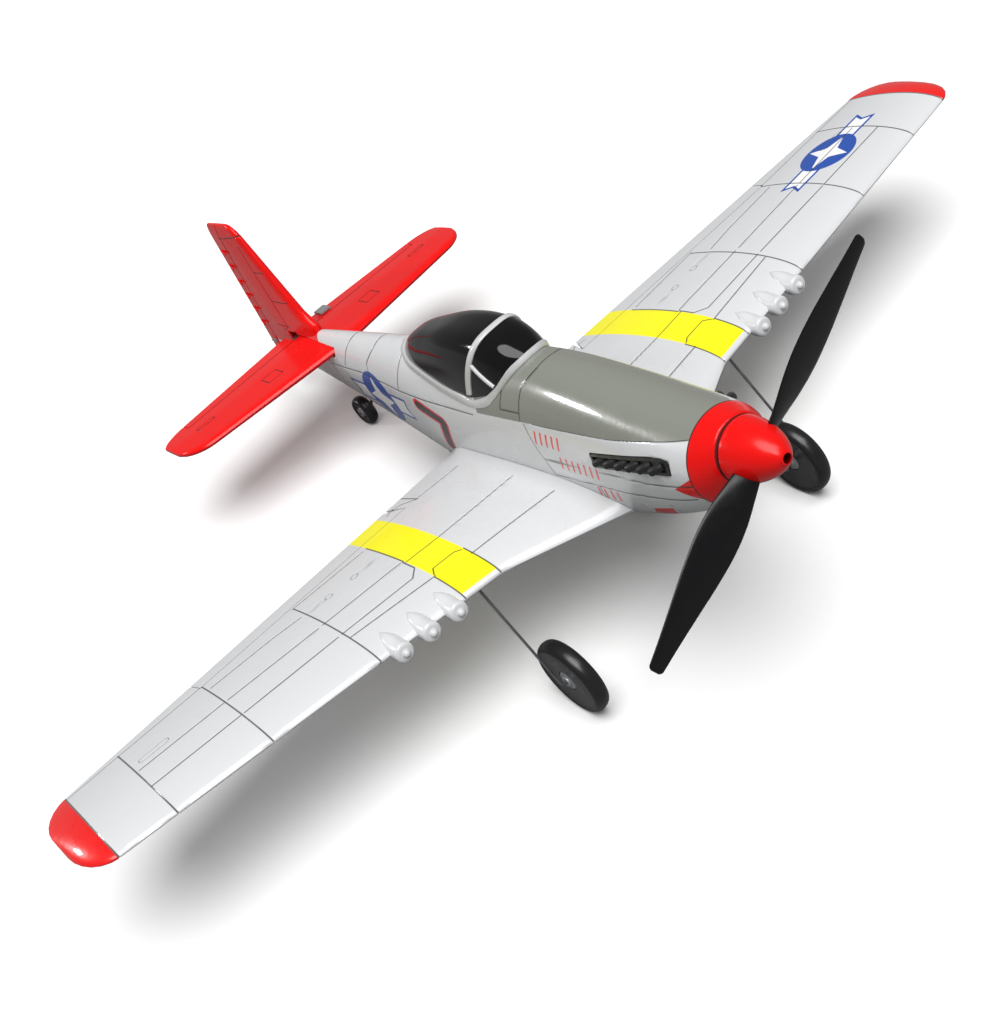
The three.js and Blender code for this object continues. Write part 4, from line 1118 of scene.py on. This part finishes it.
def make_wing(name, side):
    made = skin(f"wing_skin_{name}", wing_surface(side), 58, 36, 4, wing_features, "silver")
    flap = duplicate(made, f"aileron_skin_{name}")
    cut(
        made,
        whole_hull(0.08),
        aileron_cut_out(side),
        tube([(0, SPAR_Y, SPAR_Z), (side * (SPAR_HALF + 0.5), SPAR_Y, SPAR_Z)], SPAR_BORE),
        torque_rod_tunnel(side),
        gear_block(side, 0.2),
        gun_bar(side, 0.9),
        *(gun_solid(side, x) for x in GUN_X),
    )
    paint(made, wing_features)
    settle(made, "airframe", [f"wing_{name}"])
    keep(flap, aileron_prism(side))
    paint(flap, wing_features)
    settle(flap, f"aileron_{name}_unit", [f"aileron_{name}"])
    wire = finish_piece(f"torque_wire_{name}", *tube(bent(torque_rod_path(side), 0.9), 0.5, 14), "wire", 40)
    settle(wire, f"aileron_{name}_unit", [f"torque_rod_{name}"])


# ------------------------------------------------------------------ tail
HINGE_Y, HALF_THICK, TAIL_TAPER, TAIL_EDGE, TAIL_HALF_SPAN = 279.8, 1.9, 0.008, 0.45, 73.9


def slab(lead, trail, nose, v, side):
    """Place along the chord and half thickness of a flat-sided section with a rounded nose."""
    y = lead + (trail - lead) * v
    front = np.clip((y - lead) / (1.8 * nose), 0, 1)
    round_nose = np.sqrt(1 - (1 - front) ** 2)
    rear = np.clip((v - 0.55) / 0.45, 0, 1)
    half = nose * round_nose * (1 - rear) + TAIL_EDGE * rear
    return y, side * np.maximum(half, 0.1)


def tail_surface(s, t):
    s, t = flat_pair(s, t)
    x = TAIL_HALF_SPAN * np.sin(math.pi * (s - 0.5)) * 0.35 + TAIL_HALF_SPAN * (2 * s - 1) * 0.65
    out = np.abs(x)
    drawn = rounding((out - 62) / 12.2)
    lead, trail = 243.2 + 0.14 * out + 14 * drawn, 291.3 - 0.092 * out - 7 * drawn
    nose = (HALF_THICK - TAIL_TAPER * out) * (1 - 0.5 * drawn)
    y, z = slab(lead, trail, nose, *chord_and_side(t))
    return np.stack((x, y, TAIL_Z + z), 1)


def tail_hinge(side, x):
    return np.array((side * x, HINGE_Y, TAIL_Z + HALF_THICK - TAIL_TAPER * x))


TAIL_LINES = segments(
    [(22.5, 259), (29.5, 259.4), (29.5, 266.9), (22.5, 266.5), (22.5, 259)],
    [(53, 268.6), (61, 269.2), (61, 271.4), (53, 270.9), (53, 268.6)],
)


def tail_features(points):
    flat = np.stack((np.abs(points[:, 0]), points[:, 1]), 1)
    away = distance(flat, TAIL_LINES) + np.where(points[:, 2] > TAIL_Z, 0, 3)
    return away, {}


ELEVATOR_ROOT, ELEVATOR_END, HORN_X = 4.8, 61, 14


def horn_forms(grow):
    blade = box((HORN_X - 0.6 - grow, 282.4 - grow, -2.4), (HORN_X + 0.6 + grow, 287.4 + grow, 9.5))
    plate = box((HORN_X - 2.6 - grow, 281.6 - grow, 9.4), (HORN_X + 2.6 + grow, 288 + grow, 10.2))
    return blade, plate


def make_tail():
    made = skin("stabilizer_skin", tail_surface, 72, 30, 4, tail_features, "red")
    for name, side in SIDES:
        flap = duplicate(made, f"elevator_skin_{name}")
        ends = [tail_hinge(side, x) for x in (ELEVATOR_ROOT, ELEVATOR_END)]
        keep(flap, along_hinge(ends, BEVELLED, [0, side * 0.1]))
        cut(flap, tube([(-9, JOINER_Y, TAIL_Z), (9, JOINER_Y, TAIL_Z)], 0.8, 12))
        if side > 0:
            cut(flap, *horn_forms(0.15))
        paint(flap, tail_features)
        settle(flap, "elevator_unit", [f"elevator_{name}"])
    cut(made, box((-4, HINGE_Y - 0.16, 0), (4, 300, 20)))
    for side in (1, -1):
        ends = [tail_hinge(side, x) for x in (0, ELEVATOR_END + 0.35)]
        cut(made, along_hinge(ends, CUT_OUT, [0, side * 0.1]))
    paint(made, tail_features)
    settle(made, "airframe", ["stabilizer"])


FIN_FOOT, FIN_SHOULDER, FIN_ROUND = -8, 55, 6.5


def fin_surface(s, t):
    s, t = flat_pair(s, t)
    to_tip = np.sin(math.pi / 2 * np.clip((s - 0.85) / 0.15, 0, 1))
    straight = FIN_FOOT + (FIN_SHOULDER - FIN_FOOT) * s / 0.85
    z = np.where(s < 0.85, straight, FIN_SHOULDER + FIN_ROUND * to_tip)
    drawn = rounding((z - FIN_SHOULDER) / 6.6)
    low = np.maximum(z, 12)
    lead = np.where(low > 21.9, 267 + 0.373 * (low - 21.9), 267 - 6 * np.clip((21.9 - low) / 7, 0, 1) ** 1.5)
    lead, trail = lead + 5 * drawn, 319.2 - 0.2 * z - 3 * drawn
    nose = (2.7 - 0.022 * z) * (1 - 0.6 * drawn)
    y, x = slab(lead, trail, nose, *chord_and_side(t))
    return np.stack((x, y, z), 1)


def rudder_line(z):
    return 313 - 17 * (z + 10) / 71.5


RIB_Z = (48.5, 41.3, 33.5, 26.6, 19.6, 12.5)
FIN_LINES = segments(
    [(276.8, 56.9), (300, 55)],
    [(285, 14), (284, 52)],
    [(270.5, 26), (284.6, 26)],
    [(276, 40), (284.2, 40)],
    [(289.4, 11.3), (284.1, 13.5), (295.2, 13.5)],
)


def fin_features(points):
    return distance(points[:, 1:], FIN_LINES), {}


def make_fin():
    made = skin("fin_skin", fin_surface, 50, 32, 4, fin_features, "red")
    flap = duplicate(made, "rudder_skin")
    behind = [[(x, rudder_line(z) - 0.16 + y, z) for x, y in ((-9, 0), (9, 0), (9, 70), (-9, 70))]
              for z in (-20, 80)]
    cut(made, loft(behind), whole_hull(0.05), box((-20, 200, -30), (20, 281, 9.95)),
        box((-20, 280, -30), (20, 288, 11.2)), box((-20, 287, -30), (20, 330, 4)))
    paint(made, fin_features)
    settle(made, "airframe", ["fin"])
    aft = [[(x, rudder_line(z) + 0.1 + y, z) for x, y in ((0, 0), (6, 3.5), (6, 60), (-6, 60), (-6, 3.5))]
           for z in (-20, 80)]
    keep(flap, loft(aft))
    for z in RIB_Z:
        for side in (1, -1):
            rib = [(side * 1.9, rudder_line(z) + 2.5, z - 0.8), (side * 0.6, 317.4 - 0.2 * z, z)]
            join(flap, tube(rib, 0.42, 10))
    cut(flap, box((-1.75, 311.45, 1.75), (8.75, 315.75, 3.05)))
    paint(flap, fin_features)
    settle(flap, "rudder_unit", ["rudder"])


# ------------------------------------------------------------------ nose and propeller
def no_features(points):
    return np.full(len(points), 99.0), {}


def ring_features(points):
    """Painted shade at the seam with the hull and in the gap behind the spinner."""
    y = points[:, 1]
    return np.minimum(np.abs(y - HULL_FRONT + 0.3), np.abs(y - RING_FRONT) + 0.08), {}


def make_nose_ring():
    def surface(s, t):
        s, t = flat_pair(s, t)
        y = RING_FRONT + (HULL_FRONT - 0.12 - RING_FRONT) * s
        return fuselage_points(y, TAU * t, -RING_LIP * rounding(1 - (y - RING_FRONT) / RING_LIP))

    points, faces, _ = quilt(surface, 30, 96, 1, near_features(ring_features))
    made = finish_piece("nose_band", points, faces, "red", 40)
    cut(made, tube([(0, RING_FRONT - 5, 0), (0, HULL_FRONT + 5, 0)], 6.5, 64))
    paint(made, ring_features)
    settle(made, "airframe", ["nose_ring"])


SPINNER_RADIUS, SPINNER_LENGTH = 9.6, 17.1
PROP_RADIUS, PROP_TURN = 65.3, math.radians(65.2)


def spinner_radius(y):
    return SPINNER_RADIUS * (1 - (1 - y / SPINNER_LENGTH) ** 1.75) ** 0.62


def about_y(points, turn, lift):
    c, s = math.cos(turn), math.sin(turn)
    x, y, z = np.asarray(points, float).T
    return np.stack((x * c + z * s, y + lift, z * c - x * s), 1)


def make_spinner():
    outer = [(0.35, 1.5), (0.42, 1.75), (0.6, 2.1)]
    stations = (0.9, 1.3, 1.9, 2.7, 3.7, 5, 6.5, 8, 9.6, 11.2, 12.8, 14.4, 15.6)
    outer += [(y, spinner_radius(y)) for y in stations]
    outer += [(15.75, spinner_radius(15.7) - 0.25), (15.95, spinner_radius(15.9)),
              (16.8, spinner_radius(16.8)), (SPINNER_LENGTH, spinner_radius(16.9) - 0.25)]
    inner = [(y, max(spinner_radius(y) - 1.5, 1.5)) for y in (SPINNER_LENGTH, 11, 7, 3.5)]
    made = finish_piece("spinner_cone", *turned([*outer, *inner, (0.35, 1.5)], "y", (0, 0, 0), 96), "red", 40)
    points, faces = loft(blade_rings(0.2))
    cut(made, *((about_y(points, turn, PROP_Y), faces) for turn in (PROP_TURN, PROP_TURN + math.pi)))
    paint(made, no_features)
    settle(made, "propeller_unit", ["spinner"])


# Distance from the shaft and chord of the blade.
BLADE = np.array([
    [0, 5], [5, 6.4], [12, 9.2], [20, 12.3], [28, 13.3], [37, 12.1], [47, 9.5], [57, 6.8], [66, 4.7],
])


def blade_rings(grow=0.0):
    rings = []
    for r in (*np.linspace(1.5, 64.2, 48), 64.7, 65.05, PROP_RADIUS):
        t = r / PROP_RADIUS
        corner = 1.6 * max(r - 64.2, 0) ** 2
        chord = along_table(BLADE, r)[0][1] - corner + 2 * grow
        pitch, thick = math.atan2(9.5, 6 + r), 2.4 - 1.6 * t + 2 * grow
        angles = circle(28)
        a = chord / 2 * np.cos(angles)
        b = thick / 2 * np.sin(angles) * np.where(np.cos(angles) > 0, 1, 1 - 0.35 * np.cos(angles) ** 2)
        c, s = math.cos(pitch), math.sin(pitch)
        rings.append(np.stack((a * c - b * s, a * s + b * c, np.full(28, r)), 1))
    return rings


def make_propeller():
    points, faces = loft(blade_rings())
    made = finish_piece("propeller_blades", about_y(points, PROP_TURN, PROP_Y), faces, "prop", 40)
    boss = rounded([(8, 0.82), (8, 4), (14.4, 4), (14.4, 0.82)], 0.5)
    join(made, (about_y(points, PROP_TURN + math.pi, PROP_Y), faces), turned(boss, "y", (0, 0, 0), 64))
    cut(made, tube([(0, 5, 0), (0, 20, 0)], 0.85, 32))
    settle(made, "propeller_unit", ["propeller"])


# ------------------------------------------------------------------ undercarriage
MAIN = {"x": 54, "y": 81, "z": -61, "radius": 14, "width": 5.8, "hub": 3.6}
TAIL = {"x": 0, "y": 268, "z": -29, "radius": 6.5, "width": 4.6, "hub": 2.4}
WIRE, LEG_END = 0.45, 48.5


def bead_radius(wheel):
    return wheel["radius"] - wheel["width"] * 0.42


def tyre_profile(wheel):
    """A rounded tread, and sides with a shallow flat disc inside a raised bead."""
    half, inner, outer = wheel["width"] / 2, wheel["hub"] + 0.12, wheel["radius"]
    bead, step = bead_radius(wheel), 0.25
    right = [(half - step - 0.25, inner), (half - step - 0.25, bead - 0.5), (half - step, bead),
             (half, bead + 0.5)]
    right += [(half * math.cos(a), bead + 0.5 + (outer - bead - 0.5) * math.sin(a))
              for a in np.linspace(0.25, math.pi / 2, 9)]
    left = [(-y, r) for y, r in reversed(right[:-1])]
    return [*right, *left, right[0]]


def hub_profile(wheel):
    half, rim, bore = wheel["width"] / 2, wheel["hub"], 0.95
    right = [(half + 0.25, bore), (half + 0.25, 1.7), (half + 0.1, 1.95), (half - 0.35, 2.05),
             (half - 0.45, rim - 0.35), (half - 0.75, rim - 0.02)]
    return [*right, *[(-y, r) for y, r in reversed(right)], right[0]]


def make_wheel(body, wheel, side, nodes, names):
    centre = (side * wheel["x"], wheel["y"], wheel["z"])
    made = finish_piece(names[0], *turned(tyre_profile(wheel), "x", centre, 96), "tyre", 40)
    flat = coordinates(made) - np.asarray(centre)
    radius = np.hypot(flat[:, 1], flat[:, 2])
    store(made, "disc", (radius < bead_radius(wheel) - 0.3).astype(float))
    settle(made, body, [nodes[0]])
    core = finish_piece(names[1], *turned(hub_profile(wheel), "x", centre, 64), "hub", 30)
    settle(core, body, [nodes[1]])


def make_leg(name, side):
    y, z = MAIN["y"], MAIN["z"]
    path = [(side * LEG_X, 98.4, -22.4), (side * LEG_X, y, z), (side * LEG_END, y, z)]
    made = finish_piece(f"gear_wire_{name}", *tube(bent(path, 1.4), WIRE, 20), "wire", 40)
    cap = rounded([(0, 0.2), (0, 1.9), (1.6, 1.9), (1.6, 0.2)], 0.35)
    join(made, turned([(side * (LEG_END + x), r) for x, r in cap], "x", (0, y, z), 40))
    settle(made, "airframe", [f"gear_leg_{name}"])


def make_tail_leg():
    y, z = TAIL["y"], TAIL["z"]
    path = [(0, TAIL_LEG_Y, -6), (0, TAIL_LEG_Y, -19.5), (3.9, 262, -20.5), (3.9, y, z), (-2.9, y, z)]
    made = finish_piece("tail_wire", *tube(bent(path, 0.9), 0.5, 16), "wire", 40)
    settle(made, "airframe", ["tail_leg"])


# ------------------------------------------------------------------ exhausts and scoop
def make_exhaust(name, side):
    made = finish_piece(f"exhaust_row_{name}", *exhaust_box(side, EXHAUST_FLOOR + 0.1, 15.0, 0), "black", 40)
    rim = cut(solid(*exhaust_box(side, 14.8, 16.6, 0)), exhaust_box(side, 10, 20, -0.9))
    trim(made, rim, "UNION")
    keep(made, fuselage_solid(EXHAUST_FRONT - 6, EXHAUST_REAR + 6, 0.35))
    middle = (EXHAUST_FRONT + EXHAUST_REAR) / 2
    for i in range(6):
        y = EXHAUST_FRONT + 4 + i * (EXHAUST_REAR - EXHAUST_FRONT - 8) / 5
        z = EXHAUST_Z + EXHAUST_SLOPE * (y - middle)
        stub = [(side * 14.6, y - 1.2, z + 0.35), (side * 16.2, y + 0.1, z), (side * 17.1, y + 1.9, z - 0.6)]
        bore = [(side * 16.6, y + 0.9, z - 0.3), (side * 17.6, y + 2.9, z - 1)]
        trim(made, cut(solid(*tube(smooth_path(stub, 4), 1.3, 16)), tube(bore, 0.8, 12)), "UNION")
    settle(made, "airframe", [f"exhaust_{name}"])


# Stations: y, half width, keel and roof.
SCOOP = [(140, 8.4, -41.5, -30), (144, 8.75, -42.4, -29), (150, 9, -43, -27.5), (164, 8.6, -43, -25.5),
         (178, 7.9, -42.7, -24), (188, 6.9, -39.4, -24), (196, 5.6, -35.5, -24)]


SCOOP_THROAT = 145


def make_scoop():
    table = np.array(SCOOP, float)
    rings = []
    corner = 3.2
    for y in np.linspace(SCOOP[0][0], SCOOP[-1][0], 40):
        _, half, keel, roof = along_table(table, y)[0]
        ring = [(-half, y, roof), (half, y, roof)]
        for a in np.linspace(0, math.pi / 2, 8):
            ring.append((half - corner + corner * math.cos(a), y, keel + corner - corner * math.sin(a)))
        for a in np.linspace(0, math.pi / 2, 8):
            ring.append((corner - half - corner * math.sin(a), y, keel + corner - corner * math.cos(a)))
        rings.append(ring)
    made = finish_piece("belly_scoop", *loft(rings), "silver", 40)
    cut(made, whole_hull(0.08), box((-6.6, 138, -40.4), (6.6, SCOOP_THROAT, -30)))
    # Painted shade: the scoop's wall at its throat is darkened through the groove attribute.
    store(made, "groove", (np.abs(coordinates(made)[:, 1] - SCOOP_THROAT) < 0.01) * 0.7)
    settle(made, "airframe", ["radiator_scoop"])


# ------------------------------------------------------------------ what the CAD already shapes
KEPT = {
    "black": ["gearbox_frame", "battery_tray", "aileron_servo", "elevator_servo", "rudder_servo",
              "battery_lead"],
    "wire": ["shaft_bearing", "motor_can", "prop_shaft", "pinion", "aileron_link_left",
             "aileron_link_right", "elevator_joiner", "elevator_pushrod", "rudder_pushrod"],
    "nylon": ["gear_block_left", "gear_block_right", "spur_gear", "aileron_servo_arm", "elevator_servo_arm",
              "rudder_servo_arm"],
    "hub": ["elevator_horn", "rudder_horn"],
    "magnet": ["hull_magnet", "hatch_magnet"],
    "board": ["receiver_board"],
    "wrap": ["battery"],
    "carbon": ["wing_spar"],
}


def finish_kept_nodes():
    for finish, names in KEPT.items():
        for name in names:
            mesh = frame["nodes"][name].data
            mesh.materials.clear()
            mesh.materials.append(FINISH[finish])


# ------------------------------------------------------------------ making it all
add_camera()
add_stage()
make_hull()
make_nose_ring()
make_hatch()
make_canopy()
make_canopy_frame()
for NAME, SIDE in SIDES:
    make_wing(NAME, SIDE)
    make_guns(NAME, SIDE)
    make_exhaust(NAME, SIDE)
    make_leg(NAME, SIDE)
    NODES = (f"tyre_{NAME}", f"hub_{NAME}")
    make_wheel(f"wheel_{NAME}", MAIN, SIDE, NODES, [f"wheel_{node_name}" for node_name in NODES])
make_wheel("tail_wheel", TAIL, 1, ("tail_tyre", "tail_hub"), ("tail_wheel_tyre", "tail_wheel_hub"))
make_tail_leg()
make_tail()
make_fin()
make_spinner()
make_propeller()
make_scoop()
finish_kept_nodes()
